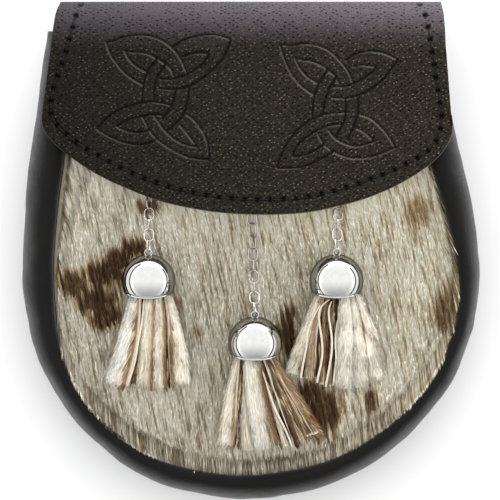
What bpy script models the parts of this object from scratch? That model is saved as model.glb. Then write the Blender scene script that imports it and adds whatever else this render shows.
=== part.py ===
"""Sporran pouch: a rounded leather pouch with a fold-over flap, a hair-on hide
front and three tassels in metal caps, each on its own cable chain.

The pouch lies on its back.  +X is the wearer's left as seen from the front
(right in a front view), +Y points up to the folded top edge, +Z points out of
the front.  z = 0 is the back rim that rests on the table.  Lengths below are in
millimetres and are turned into metres where the meshes are made.
"""

import math

import bmesh
import bpy
from mathutils import Matrix, Vector

MM = 0.001

# ---------------------------------------------------------------- dimensions
GAP = 0.3                  # clearance between neighbouring pieces
LEATHER = 2.0              # gusset, back panel and belt loops
FLAP_THICK = 2.4           # flap hide
HIDE_THICK = 3.4           # hide of the front with its laid-down hair

GUSSET_FRONT = 38.5        # depth of the pouch over the gusset's front rim
LIP_FRONT_Z = 30.4         # where the front edge of the gusset ends, inside
LIP_BACK_Z = 10.6          # where the back edge of the gusset ends, inside
BACK_Z = 8.0               # outer face of the back panel, recessed in the rim
PANEL_TOP_Y = 77.0         # straight top edge of front and back panels

FOLD_Y = 84.3              # centre line of the flap's fold over the top
FOLD_Z = 24.3
FOLD_R = 19.0              # outer radius of the fold
FLAP_BACK_Y = 62.0         # edge of the flap sewn to the back panel

LINK_LENGTH = 6.4
LINK_WIDTH = 4.4
WIRE = 0.6                 # diameter of the chain wire
LINK_PLAY = 0.25
LINK_PITCH = LINK_LENGTH - 2 * WIRE - LINK_PLAY

CAP_R = 11.05              # ball that the tassel caps are cut from
CAP_CUT = 3.85             # open mouth, below the ball's centre
CAP_WALL = 0.8
EYE_R = 1.5                # centre line of the small ring on the crown
EYE_UP = 1.15              # its centre above the crown

LOOP_WIDTH = 20.0          # belt loops: width, place and reach
LOOP_X = 38.0
LOOP_TOP_Y = 60.0
LOOP_LOW_Y = 10.0
LOOP_TAB = 8.0

# Outermost line of the gusset, from the left end of the mouth round the bottom
# to the right end: x, y, how far the roll reaches in to the seam of the front
# hide, height of the front rim, height of the back rim.
GUSSET_ROWS = [
    # x      y      roll  front  back
    (-84.6, 91.0, 11.0, 36.0, 10.0),
    (-86.6, 79.0, 12.8, 38.0, 2.6),
    (-89.0, 60.0, 14.0, 38.5, 0.0),
    (-91.7, 39.4, 14.4, 38.5, 0.0),
    (-93.9, 19.4, 14.0, 38.5, 0.0),
    (-95.0, -5.0, 13.3, 38.5, 0.0),
    (-93.5, -25.6, 12.6, 38.5, 0.0),
    (-90.0, -40.6, 11.6, 38.5, 0.0),
    (-83.4, -55.6, 10.6, 38.5, 0.0),
    (-73.4, -70.6, 10.0, 38.5, 0.0),
    (-60.8, -83.1, 10.0, 38.5, 0.0),
    (-45.8, -93.1, 10.1, 38.5, 0.0),
    (-28.0, -99.9, 10.4, 38.5, 0.0),
    (-3.0, -103.3, 10.6, 38.5, 0.0),
    (24.0, -99.9, 10.6, 38.5, 0.0),
    (42.5, -93.1, 10.5, 38.5, 0.0),
    (58.3, -83.1, 10.2, 38.5, 0.0),
    (71.7, -70.6, 9.7, 38.5, 0.0),
    (82.9, -55.6, 9.4, 38.5, 0.0),
    (90.0, -40.6, 9.0, 38.5, 0.0),
    (93.8, -25.6, 9.0, 38.5, 0.0),
    (95.0, -6.0, 10.2, 38.5, 0.0),
    (92.3, 17.0, 12.3, 38.5, 0.0),
    (88.0, 36.0, 13.8, 38.5, 0.0),
    (83.4, 57.0, 13.8, 38.5, 0.0),
    (80.4, 77.0, 12.6, 38.0, 2.6),
    (78.6, 90.0, 11.0, 36.0, 10.0),
]
GUSSET_STATIONS = 47

# Dome of the front hide: share of the way from its centre to its edge, height.
FRONT_CENTRE = (0.0, -8.0)
FRONT_DOME = [
    # share  height
    (0.00, 35.3),
    (0.50, 35.1),
    (0.80, 34.7),
    (0.955, 34.0),
    (1.00, 32.8),
]

# Free edge of the flap from the left corner to the right one: x, y.
FLAP_EDGE = [
    # x      y
    (-86.2, 54.4),
    (-85.5, 50.2),
    (-83.3, 46.6),
    (-76.7, 40.2),
    (-63.6, 31.4),
    (-50.5, 25.2),
    (-37.3, 20.2),
    (-24.2, 17.2),
    (-11.1, 15.3),
    (5.3, 14.6),
    (21.8, 15.4),
    (34.9, 17.9),
    (48.0, 21.6),
    (61.1, 27.3),
    (73.5, 35.2),
    (80.0, 42.1),
    (82.9, 48.6),
    (82.5, 53.6),
]
# Side edges of the flap round the fold: angle from the back (-90) over the
# top (0) to the front (90), x of the left edge, x of the right edge.
FOLD_SIDES = [
    # angle  left   right
    (-90.0, -64.0, 63.0),
    (-70.0, -66.5, 65.5),
    (-40.0, -73.5, 73.0),
    (0.0, -78.5, 78.5),
    (45.0, -80.6, 79.4),
    (90.0, -82.0, 79.9),
]
FLAP_COLUMNS = 20
FLAP_FRONT_ROWS = 8
FOLD_STEPS = 8

# Tassel caps: name, x and y of the ball's centre, tilt of the crown up from
# the table in degrees, x where the chain leaves the flap.
CAPS = [
    # name      x      y      tilt  chain_x
    ("left", -41.9, -12.6, 18.0, -41.7),
    ("centre", 1.6, -38.0, 16.0, 0.3),
    ("right", 35.0, -12.5, 17.0, 36.9),
]
BALL_Z = {"left": 46.5, "centre": 46.6, "right": 46.5}

# Chains: name, number of links, height at the flap, stretch over which the
# chain climbs to its cap, power of that climb, roll of each link about the
# chain from the cap up to the flap in degrees (0 lies flat, 90 on edge).
CHAINS = [
    # name     links start_z climb  power rolls
    ("left", 6, 38.2, 25.0, 1.35, (75, 0, 90, 0, 60, 0)),
    ("centre", 11, 38.0, 27.0, 1.9,
     (80, 5, 90, 5, 90, 0, 50, -45, 0, 90, 0)),
    ("right", 6, 38.2, 24.0, 1.35, (65, 5, 90, 0, 52, 0)),
]

# Outer form of each tassel from inside its cap to the free ends: share of the
# length, left edge x, right edge x, y, lowest z, highest z.
TASSELS = {
    "left": [
        # share  x_left  x_right   y      z_low  z_high
        (0.00, -47.2, -36.6, -6.6, 43.0, 53.6),
        (0.10, -50.2, -33.6, -11.0, 39.4, 54.8),
        (0.20, -50.7, -33.1, -16.6, 37.2, 53.6),
        (0.32, -51.5, -32.1, -21.0, 35.9, 51.2),
        (0.50, -54.2, -29.9, -31.5, 35.7, 48.0),
        (0.72, -57.8, -26.8, -43.0, 35.5, 45.6),
        (0.92, -60.3, -25.0, -53.5, 35.3, 42.6),
        (1.00, -59.3, -27.0, -57.8, 35.4, 39.6),
    ],
    "centre": [
        (0.00, -3.7, 6.9, -32.0, 43.1, 53.7),
        (0.10, -6.7, 9.9, -36.4, 39.5, 54.9),
        (0.20, -7.2, 10.4, -42.0, 37.3, 53.8),
        (0.32, -7.8, 12.0, -47.0, 36.0, 51.2),
        (0.50, -10.0, 18.0, -57.0, 35.7, 48.0),
        (0.72, -11.6, 24.5, -68.5, 35.5, 45.4),
        (0.92, -12.6, 29.2, -78.5, 35.2, 42.4),
        (1.00, -8.0, 25.0, -82.8, 35.2, 39.6),
    ],
    "right": [
        (0.00, 29.7, 40.3, -6.5, 43.0, 53.6),
        (0.10, 26.7, 43.3, -10.9, 39.4, 54.8),
        (0.20, 26.2, 43.8, -16.5, 37.2, 53.6),
        (0.32, 25.4, 44.8, -21.0, 35.9, 51.2),
        (0.50, 22.0, 46.9, -31.5, 35.7, 48.0),
        (0.72, 17.8, 50.4, -43.0, 35.5, 45.6),
        (0.92, 15.2, 52.4, -52.0, 35.3, 42.6),
        (1.00, 18.0, 50.0, -56.6, 35.4, 39.6),
    ],
}
TASSEL_SIDES = 16

SNAP_XY = (0.0, 45.0)
SNAP_R = 6.0


# ------------------------------------------------------------------ helpers
def catmull(rows, per_span):
    """Smooth curve through rows of numbers, all columns together."""
    count = len(rows)
    out = []
    for i in range(count - 1):
        p0 = rows[max(i - 1, 0)]
        p1 = rows[i]
        p2 = rows[i + 1]
        p3 = rows[min(i + 2, count - 1)]
        for k in range(per_span):
            t = k / per_span
            out.append(tuple(
                0.5 * (2 * b + (c - a) * t + (2 * a - 5 * b + 4 * c - d) * t * t
                       + (3 * b - a - 3 * c + d) * t ** 3)
                for a, b, c, d in zip(p0, p1, p2, p3)))
    out.append(tuple(float(v) for v in rows[-1]))
    return out


def resample(rows, count):
    """Rows at equal steps of length in their first two columns."""
    length = [0.0]
    for a, b in zip(rows, rows[1:]):
        length.append(length[-1] + math.hypot(b[0] - a[0], b[1] - a[1]))
    out = []
    j = 0
    for i in range(count):
        target = length[-1] * i / (count - 1)
        while j < len(rows) - 2 and length[j + 1] < target:
            j += 1
        span = max(length[j + 1] - length[j], 1e-9)
        t = min(max((target - length[j]) / span, 0.0), 1.0)
        out.append(tuple(a + (b - a) * t for a, b in zip(rows[j], rows[j + 1])))
    return out


def table(rows, key):
    """Every other column of a table, read at key in its first column."""
    if key <= rows[0][0]:
        return rows[0][1:]
    for a, b in zip(rows, rows[1:]):
        if key <= b[0]:
            t = (key - a[0]) / (b[0] - a[0])
            return tuple(p + (q - p) * t for p, q in zip(a[1:], b[1:]))
    return rows[-1][1:]


def smoothstep(t):
    t = min(max(t, 0.0), 1.0)
    return t * t * (3 - 2 * t)


def inward(rows, i):
    """Unit normal of a left-to-right path that points into the pouch."""
    a = rows[max(i - 1, 0)]
    b = rows[min(i + 1, len(rows) - 1)]
    tx, ty = b[0] - a[0], b[1] - a[1]
    size = math.hypot(tx, ty)
    return -ty / size, tx / size


def material(name, colour, roughness, metallic=0.0):
    mat = bpy.data.materials.new(name)
    mat.use_nodes = True
    shader = mat.node_tree.nodes["Principled BSDF"]
    shader.inputs["Base Color"].default_value = (*colour, 1.0)
    shader.inputs["Roughness"].default_value = roughness
    shader.inputs["Metallic"].default_value = metallic
    mat.diffuse_color = (*colour, 1.0)
    return mat


def add_object(name, mesh, mat, collection):
    obj = bpy.data.objects.new(name, mesh)
    mesh.materials.clear()
    mesh.materials.append(mat)
    collection.objects.link(obj)
    return obj


def surface(name, grid, closed_rows=False):
    """Open sheet of quads from rows of points, normals by the row order."""
    bm = bmesh.new()
    verts = [[bm.verts.new(Vector(p) * MM) for p in row] for row in grid]
    for a, b in zip(verts, verts[1:]):
        n = len(a)
        for k in range(n if closed_rows else n - 1):
            bm.faces.new((a[k], a[(k + 1) % n], b[(k + 1) % n], b[k]))
    mesh = bpy.data.meshes.new(name)
    bm.to_mesh(mesh)
    bm.free()
    return mesh


def solidify(obj, thickness, offset=-1.0, even=True):
    mod = obj.modifiers.new("Solidify", "SOLIDIFY")
    mod.thickness = thickness * MM
    mod.offset = offset
    mod.use_even_offset = even
    mod.use_rim = True
    return mod


def wire_curve(name, points, radius, cyclic, collection):
    """Wire of round section along a list of points."""
    curve = bpy.data.curves.new(name, "CURVE")
    curve.dimensions = "3D"
    curve.bevel_depth = radius * MM
    curve.bevel_resolution = 2
    curve.use_fill_caps = not cyclic
    spline = curve.splines.new("POLY")
    spline.points.add(len(points) - 1)
    for point, co in zip(spline.points, points):
        point.co = (*(Vector(co) * MM), 1.0)
    spline.use_cyclic_u = cyclic
    obj = bpy.data.objects.new(name, curve)
    collection.objects.link(obj)
    return obj


def curve_to_mesh(obj, collection):
    """Mesh object that takes a curve's place, its caps welded."""
    bpy.context.view_layer.update()
    graph = bpy.context.evaluated_depsgraph_get()
    mesh = bpy.data.meshes.new_from_object(obj.evaluated_get(graph))
    bm = bmesh.new()
    bm.from_mesh(mesh)
    bmesh.ops.remove_doubles(bm, verts=bm.verts, dist=0.00001)
    bmesh.ops.recalc_face_normals(bm, faces=bm.faces)
    bm.to_mesh(mesh)
    bm.free()
    new = bpy.data.objects.new(obj.name + "_solid", mesh)
    new.matrix_world = obj.matrix_world.copy()
    collection.objects.link(new)
    bpy.data.objects.remove(obj)
    return new


def hide_guide(obj):
    obj.hide_render = True
    obj.display_type = "WIRE"


def union(obj, other):
    mod = obj.modifiers.new("Union", "BOOLEAN")
    mod.operation = "UNION"
    mod.solver = "EXACT"
    mod.object = other


def smooth(mesh, degrees=40.0):
    mesh.shade_smooth()
    mesh.set_sharp_from_angle(angle=math.radians(degrees))


# ------------------------------------------------------------ shared shapes
GUSSET_PATH = [(x, y, roll, min(front, GUSSET_FRONT), max(back, 0.0))
               for x, y, roll, front, back
               in resample(catmull(GUSSET_ROWS, 8), GUSSET_STATIONS)]


def gusset_section(roll, front, back):
    """Skin of the gusset across its path: distance in from the outermost
    line, height.  It runs from the edge sewn to the front hide, up over the
    rolled front rim, round the bulging side and in to the back panel."""
    crest = 0.70 * roll
    turn = roll - crest
    flat = 0.45 * roll
    mid = 0.5 * (front + back)
    half = 0.5 * (front - back)
    c45 = math.cos(math.radians(45))
    points = [(roll, min(LIP_FRONT_Z, front - turn - 1.5)),
              (roll, front - turn),
              (crest + turn * c45, front - turn + turn * c45),
              (crest, front)]
    for degrees in (30, 60, 90):
        a = math.radians(degrees)
        points.append((crest - crest * math.sin(a), mid + half * math.cos(a)))
    for degrees in (60, 30, 0):
        a = math.radians(degrees)
        points.append((flat - flat * math.sin(a), mid - half * math.cos(a)))
    points += [(crest, back),
               (crest + turn * c45, back + turn - turn * c45),
               (roll, back + turn),
               (roll, max(LIP_BACK_Z, back + turn + 1.5))]
    return points


def panel_outline(clearance):
    """Edge of a panel that sits inside the gusset's turned-in edge, left to
    right round the bottom, up to the panels' straight top edge."""
    points = []
    for i, row in enumerate(GUSSET_PATH):
        nx, ny = inward(GUSSET_PATH, i)
        reach = row[2] + clearance
        points.append((row[0] + nx * reach, row[1] + ny * reach))
    inside = [p for p in points if p[1] < PANEL_TOP_Y - 3.0]
    left, right = inside[0], inside[-1]
    return ([(left[0] + 0.6, PANEL_TOP_Y)] + inside
            + [(right[0] - 0.6, PANEL_TOP_Y)])


def flap_top_z(x, y):
    """Outer face of the flap's front: level at the fold, a little crowned and
    let down to the gusset's rims at the sides further down."""
    crown = 1.6 - 3.8 * (x / 80.0) ** 2
    return FOLD_Z + FOLD_R + smoothstep((FOLD_Y - y) / 45.0) * crown


def front_height(x, y):
    """Top of the laid hair of the front hide near x, y."""
    dx, dy = x - FRONT_CENTRE[0], y - FRONT_CENTRE[1]
    reach = 82.0 if dy > 0 else 84.0
    share = min(math.hypot(dx / 78.0, dy / reach), 1.0)
    return table(FRONT_DOME, share)[0]


# ------------------------------------------------------------------- pieces
def make_gusset(collection, mat):
    grid = []
    for i, (x, y, roll, front, back) in enumerate(GUSSET_PATH):
        nx, ny = inward(GUSSET_PATH, i)
        grid.append([(x + nx * u, y + ny * u, z)
                     for u, z in gusset_section(roll, front, back)])
    mesh = surface("gusset", grid)
    obj = add_object("gusset", mesh, mat, collection)
    solidify(obj, LEATHER)
    smooth(mesh, 50)
    return obj


def make_back_panel(collection, mat):
    outline = panel_outline(GAP)
    curve = bpy.data.curves.new("back_panel", "CURVE")
    curve.dimensions = "2D"
    curve.fill_mode = "BOTH"
    curve.extrude = 0.5 * LEATHER * MM
    spline = curve.splines.new("POLY")
    spline.points.add(len(outline) - 1)
    for point, (x, y) in zip(spline.points, outline):
        point.co = (x * MM, y * MM, 0.0, 1.0)
    spline.use_cyclic_u = True
    curve.materials.append(mat)
    obj = bpy.data.objects.new("back_panel", curve)
    obj.location = (0.0, 0.0, (BACK_Z + 0.5 * LEATHER) * MM)
    collection.objects.link(obj)
    return obj


def make_fur_panel(collection, mat):
    outline = panel_outline(GAP)
    left, right = outline[0], outline[-1]
    steps = 10
    top = [(right[0] + (left[0] - right[0]) * k / steps, PANEL_TOP_Y)
           for k in range(1, steps)]
    ring = outline + top
    cx, cy = FRONT_CENTRE
    bm = bmesh.new()
    centre = bm.verts.new(Vector((cx, cy, FRONT_DOME[0][1])) * MM)
    rings = []
    for share, height in FRONT_DOME[1:]:
        rings.append([bm.verts.new(Vector((cx + (x - cx) * share,
                                           cy + (y - cy) * share,
                                           height)) * MM) for x, y in ring])
    n = len(ring)
    for k in range(n):
        bm.faces.new((centre, rings[0][k], rings[0][(k + 1) % n]))
    for a, b in zip(rings, rings[1:]):
        for k in range(n):
            bm.faces.new((a[k], b[k], b[(k + 1) % n], a[(k + 1) % n]))
    mesh = bpy.data.meshes.new("fur_panel")
    bm.to_mesh(mesh)
    bm.free()
    obj = add_object("fur_panel", mesh, mat, collection)
    solidify(obj, HIDE_THICK, even=False)
    smooth(mesh)
    return obj


def flap_grid():
    """Outer skin of the flap, row by row from its sewn back edge over the
    fold to its free edge."""
    edge = resample(catmull(FLAP_EDGE, 6), FLAP_COLUMNS + 1)
    rows = []
    left, right = FOLD_SIDES[0][1:]
    across = [k / FLAP_COLUMNS for k in range(FLAP_COLUMNS + 1)]
    rows.append([(left + (right - left) * v, FLAP_BACK_Y, FOLD_Z - FOLD_R)
                 for v in across])
    for step in range(FOLD_STEPS + 1):
        degrees = -90.0 + 180.0 * step / FOLD_STEPS
        left, right = table(FOLD_SIDES, degrees)
        a = math.radians(degrees)
        rows.append([(left + (right - left) * v, FOLD_Y + FOLD_R * math.cos(a),
                      FOLD_Z + FOLD_R * math.sin(a)) for v in across])
    top = [(p[0], p[1]) for p in rows[-1]]
    for step in range(1, FLAP_FRONT_ROWS + 1):
        t = step / FLAP_FRONT_ROWS
        row = []
        for start, end in zip(top, edge):
            x = start[0] + (end[0] - start[0]) * t
            y = start[1] + (end[1] - start[1]) * t
            row.append((x, y, flap_top_z(x, y)))
        rows.append(row)
    return rows


def make_flap(collection, mat):
    grid = [list(reversed(row)) for row in flap_grid()]
    mesh = surface("flap", grid)
    obj = add_object("flap", mesh, mat, collection)
    solidify(obj, FLAP_THICK)
    smooth(mesh)
    return obj


def make_snap(collection, mat):
    x, y = SNAP_XY
    low = front_height(x, y) + GAP
    high = flap_top_z(x, y) - FLAP_THICK - GAP
    bm = bmesh.new()
    bmesh.ops.create_cone(bm, cap_ends=True, segments=20, radius1=SNAP_R * MM,
                          radius2=SNAP_R * MM, depth=(high - low) * MM)
    mesh = bpy.data.meshes.new("flap_snap")
    bm.to_mesh(mesh)
    bm.free()
    obj = add_object("flap_snap", mesh, mat, collection)
    obj.location = Vector((x, y, 0.5 * (low + high))) * MM
    smooth(mesh)
    return obj


def make_belt_loop(name, x, collection, mat):
    """Strap that stands off the back panel: a tab at each end lies on the
    panel, and the stretch between lies level with the back rim."""
    tab = BACK_Z - GAP - LEATHER
    bend = 3.0
    y_top, y_low = LOOP_TOP_Y, LOOP_LOW_Y
    inner_top = y_top - LOOP_TAB
    inner_low = y_low + LOOP_TAB
    side = [(y_top, tab), (inner_top + 1.0, tab), (inner_top - 0.4, tab - 0.6),
            (inner_top - bend + 0.6, 0.7), (inner_top - bend - 1.2, 0.0)]
    other = [(y_low + y_top - y, z) for y, z in reversed(side)]
    assert abs((y_low + y_top - inner_top) - inner_low) < 1e-6
    profile = side + other
    half = 0.5 * LOOP_WIDTH
    grid = [[(x - half, y, z), (x + half, y, z)] for y, z in profile]
    mesh = surface(name, grid)
    obj = add_object(name, mesh, mat, collection)
    solidify(obj, LEATHER)
    return obj


def cap_axis(tilt):
    a = math.radians(tilt)
    return Vector((0.0, math.cos(a), math.sin(a)))


def cap_matrix(x, y, z, tilt):
    """Local +Z is the cap's axis, towards its crown; local +X stays across."""
    axis = cap_axis(tilt)
    across = Vector((1.0, 0.0, 0.0))
    third = axis.cross(across)
    rot = Matrix((across, third, axis)).transposed()
    return Matrix.Translation(Vector((x, y, z)) * MM) @ rot.to_4x4()


def make_cap(name, x, y, z, tilt, collection, cutters, mat):
    """Ball cut open below its centre, with a small ring on the crown."""
    end = math.acos(-CAP_CUT / CAP_R)
    outer = [(CAP_R * math.sin(end * k / 9), CAP_R * math.cos(end * k / 9))
             for k in range(10)]
    inner_r = CAP_R - CAP_WALL
    rim = (outer[-1][0] - 0.5 * CAP_WALL, outer[-1][1] - 0.25)
    inner = [(inner_r * math.sin(end * k / 7), inner_r * math.cos(end * k / 7))
             for k in range(7, -1, -1)]
    bm = bmesh.new()
    verts = [bm.verts.new((r * MM, 0.0, h * MM))
             for r, h in outer + [rim] + inner]
    verts[0].co.x = 0.0
    verts[-1].co.x = 0.0
    for a, b in zip(verts, verts[1:]):
        bm.edges.new((a, b))
    mesh = bpy.data.meshes.new(name)
    bm.to_mesh(mesh)
    bm.free()
    obj = add_object(name, mesh, mat, collection)
    mod = obj.modifiers.new("Screw", "SCREW")
    mod.axis = "Z"
    mod.steps = 20
    mod.render_steps = 20
    mod.use_merge_vertices = True
    mod.merge_threshold = 0.00001
    mod.use_smooth_shade = True
    obj.matrix_world = cap_matrix(x, y, z, tilt)
    count = 12
    eye = [(EYE_R * math.cos(2 * math.pi * k / count), 0.0,
            CAP_R + EYE_UP + EYE_R * math.sin(2 * math.pi * k / count))
           for k in range(count)]
    ring = wire_curve(name + "_eye", eye, 0.5 * WIRE, True, cutters)
    ring.matrix_world = cap_matrix(x, y, z, tilt)
    ring = curve_to_mesh(ring, cutters)
    hide_guide(ring)
    union(obj, ring)
    return obj


def link_points():
    """Centre line of one chain link along local Y, flat in local X and Y."""
    half = 0.5 * (LINK_LENGTH - WIRE)
    radius = 0.5 * (LINK_WIDTH - WIRE)
    points = []
    for start, sign in ((0.0, 1.0), (180.0, -1.0)):
        for k in range(5):
            a = math.radians(start + 45.0 * k)
            points.append((radius * math.cos(a),
                           sign * (half - radius) + radius * math.sin(a), 0.0))
    return points


def chain_route(name, start_z, climb, power, count):
    """Places along a chain from its cap up to the flap: point, direction."""
    for cap_name, x, y, tilt, chain_x in CAPS:
        if cap_name == name:
            break
    axis = cap_axis(tilt)
    ring = Vector((x, y, BALL_Z[name])) + axis * (CAP_R + EYE_UP + EYE_R)
    reach = WIRE + GAP
    slope = (ring.z - start_z) * power / climb
    first = Vector((0.0, 1.0, -slope)).normalized()
    hook = ring - first * reach
    rise = hook.z - start_z

    def point_at(run):
        height = start_z
        if run < climb:
            height += rise * (1.0 - run / climb) ** power
        sway = min(run / 42.0, 1.0)
        return Vector((hook.x + (chain_x - hook.x) * sway, hook.y + run, height))

    step = 0.02
    places = []
    end_reach = 0.5 * (LINK_LENGTH - WIRE)
    for i in range(count):
        ends = []
        for target in (i * LINK_PITCH, i * LINK_PITCH + 2 * end_reach):
            probe_run, probe_len, probe = 0.0, 0.0, point_at(0.0)
            while probe_len < target:
                probe_run += step
                nxt = point_at(probe_run)
                probe_len += (nxt - probe).length
                probe = nxt
            ends.append(probe)
        direction = (ends[1] - ends[0]).normalized()
        middle = 0.5 * (ends[0] + ends[1])
        places.append((middle, direction))
    last_middle, last_direction = places[-1]
    return places, last_middle + last_direction * end_reach


def make_chain(name, places, rolls, collection, mat):
    shape = link_points()
    for i, ((middle, direction), roll) in enumerate(zip(places, rolls)):
        label = "chain_%s_link_%02d" % (name, i + 1)
        obj = wire_curve(label, shape, 0.5 * WIRE, True, collection)
        obj.data.materials.append(mat)
        up = Vector((0.0, 0.0, 1.0))
        across = direction.cross(up).normalized()
        normal = across.cross(direction)
        base = Matrix((across, direction, normal)).transposed()
        turn = Matrix.Rotation(math.radians(roll), 3, "Y")
        obj.matrix_world = (Matrix.Translation(middle * MM)
                            @ (base @ turn).to_4x4())


def make_staple(name, hook, collection, cutters, mat):
    """Small round plate on the front hide, under the flap, with a standing
    loop that holds the first link."""
    leg = 1.5
    radius = 0.5 * WIRE
    y0 = hook.y + leg - 2 * radius - GAP
    low = front_height(hook.x, y0) + GAP
    plate = 0.8
    top = hook.z + 2 * radius + 0.3
    bm = bmesh.new()
    bmesh.ops.create_cone(bm, cap_ends=True, segments=18, radius1=3.2 * MM,
                          radius2=3.2 * MM, depth=plate * MM)
    mesh = bpy.data.meshes.new(name)
    bm.to_mesh(mesh)
    bm.free()
    obj = add_object(name, mesh, mat, collection)
    obj.location = Vector((hook.x, y0, low + 0.5 * plate)) * MM
    smooth(mesh)
    points = [(hook.x, y0 - leg, low + 0.35)]
    for k in range(7):
        a = math.radians(180.0 - 30.0 * k)
        points.append((hook.x, y0 + leg * math.cos(a),
                       top - leg + leg * math.sin(a)))
    points.append((hook.x, y0 + leg, low + 0.35))
    loop = wire_curve(name + "_loop", points, radius, False, cutters)
    loop = curve_to_mesh(loop, cutters)
    hide_guide(loop)
    union(obj, loop)
    return obj


def make_tassel(name, rows, collection, mat):
    """Outer form of a bundle of hide strips: round inside the cap, wide and
    low at the free ends."""
    fine = catmull(rows, 1)
    bm = bmesh.new()
    loops = []
    for share, x_left, x_right, y, z_low, z_high in fine:
        cx, cz = 0.5 * (x_left + x_right), 0.5 * (z_low + z_high)
        hx, hz = 0.5 * (x_right - x_left), 0.5 * (z_high - z_low)
        power = 1.0 - 0.35 * share
        loop = []
        for k in range(TASSEL_SIDES):
            a = 2 * math.pi * k / TASSEL_SIDES
            c, s = math.cos(a), math.sin(a)
            loop.append(bm.verts.new(Vector((
                cx + hx * math.copysign(abs(c) ** power, c),
                y,
                cz + hz * math.copysign(abs(s) ** power, s))) * MM))
        loops.append(loop)
    for a, b in zip(loops, loops[1:]):
        for k in range(TASSEL_SIDES):
            n = (k + 1) % TASSEL_SIDES
            bm.faces.new((a[k], b[k], b[n], a[n]))
    bm.faces.new(loops[0])
    bm.faces.new(list(reversed(loops[-1])))
    bmesh.ops.recalc_face_normals(bm, faces=bm.faces)
    mesh = bpy.data.meshes.new(name)
    bm.to_mesh(mesh)
    bm.free()
    obj = add_object(name, mesh, mat, collection)
    smooth(mesh)
    return obj


def main():
    for obj in list(bpy.data.objects):
        bpy.data.objects.remove(obj, do_unlink=True)
    parts = bpy.data.collections.new("sporran_pouch")
    cutters = bpy.data.collections.new("guides")
    bpy.context.scene.collection.children.link(parts)
    bpy.context.scene.collection.children.link(cutters)

    gusset_leather = material("gusset_leather", (0.030, 0.026, 0.027), 0.42)
    back_leather = material("back_leather", (0.035, 0.029, 0.025), 0.55)
    flap_leather = material("flap_leather", (0.036, 0.031, 0.026), 0.48)
    loop_leather = material("loop_leather", (0.032, 0.027, 0.024), 0.50)
    hide = material("hair_on_hide", (0.42, 0.37, 0.28), 0.60)
    strips = material("tassel_hide", (0.62, 0.55, 0.43), 0.60)
    chrome = material("cap_chrome", (0.80, 0.80, 0.79), 0.08, 1.0)
    chain_metal = material("chain_metal", (0.70, 0.69, 0.66), 0.20, 1.0)
    snap_metal = material("snap_metal", (0.40, 0.38, 0.35), 0.35, 1.0)

    make_gusset(parts, gusset_leather)
    make_back_panel(parts, back_leather)
    make_fur_panel(parts, hide)
    make_flap(parts, flap_leather)
    make_snap(parts, snap_metal)
    make_belt_loop("belt_loop_left", -LOOP_X, parts, loop_leather)
    make_belt_loop("belt_loop_right", LOOP_X, parts, loop_leather)

    for name, x, y, tilt, _ in CAPS:
        make_cap("cap_" + name, x, y, BALL_Z[name], tilt, parts, cutters, chrome)
    for name, count, start_z, climb, power, rolls in CHAINS:
        places, hook = chain_route(name, start_z, climb, power, count)
        make_chain(name, places, rolls, parts, chain_metal)
        make_staple("chain_staple_" + name, hook, parts, cutters, chain_metal)
    for name, rows in TASSELS.items():
        make_tassel("tassel_" + name, rows, parts, strips)


main()
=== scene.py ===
"""Looks of the sporran pouch: leather with embossed knots, hair-on hide,
polished caps, chain links and tassels of cut hide strips.

Everything is laid out in millimetres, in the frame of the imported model, and
turned into metres where the meshes are made.
"""

import math

import bpy
import numpy as np
from mathutils import Matrix, Vector


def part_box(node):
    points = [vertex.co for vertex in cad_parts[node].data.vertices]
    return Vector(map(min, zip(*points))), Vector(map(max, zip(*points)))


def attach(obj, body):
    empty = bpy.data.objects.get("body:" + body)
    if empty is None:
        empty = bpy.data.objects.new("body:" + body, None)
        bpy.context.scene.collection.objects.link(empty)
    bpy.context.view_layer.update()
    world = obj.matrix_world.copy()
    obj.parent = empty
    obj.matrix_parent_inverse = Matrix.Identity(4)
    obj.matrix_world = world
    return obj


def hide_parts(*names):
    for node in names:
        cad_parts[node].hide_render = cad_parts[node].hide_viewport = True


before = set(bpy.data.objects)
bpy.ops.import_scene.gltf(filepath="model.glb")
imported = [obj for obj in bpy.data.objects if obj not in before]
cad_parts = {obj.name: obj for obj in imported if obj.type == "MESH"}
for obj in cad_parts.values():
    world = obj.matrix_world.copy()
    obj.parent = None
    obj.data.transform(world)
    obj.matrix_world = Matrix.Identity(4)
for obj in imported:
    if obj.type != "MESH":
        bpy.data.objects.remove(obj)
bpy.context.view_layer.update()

MM = 0.001
scene = bpy.context.scene

# ---------------------------------------------------------------- dimensions
GAP = 0.3
LEATHER = 2.0
FLAP_THICK = 2.4
HAIR_LIE = 1.5             # how far the laid hair stands over the bare hide

GUSSET_FRONT = 38.5
LIP_FRONT_Z = 30.4
LIP_BACK_Z = 10.6
BACK_Z = 8.0
PANEL_TOP_Y = 77.0

FOLD_Y = 84.3
FOLD_Z = 24.3
FOLD_R = 19.0
FLAP_BACK_Y = 62.0

LINK_LENGTH = 6.4
LINK_WIDTH = 4.4
WIRE = 0.6
LINK_PLAY = 0.25
LINK_PITCH = LINK_LENGTH - 2 * WIRE - LINK_PLAY

CAP_R = 11.05
CAP_CUT = 3.85
CAP_WALL = 0.8
EYE_R = 1.5
EYE_UP = 1.15

LOOP_WIDTH = 20.0
LOOP_X = 38.0
LOOP_TOP_Y = 60.0
LOOP_LOW_Y = 10.0
LOOP_TAB = 8.0

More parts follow.
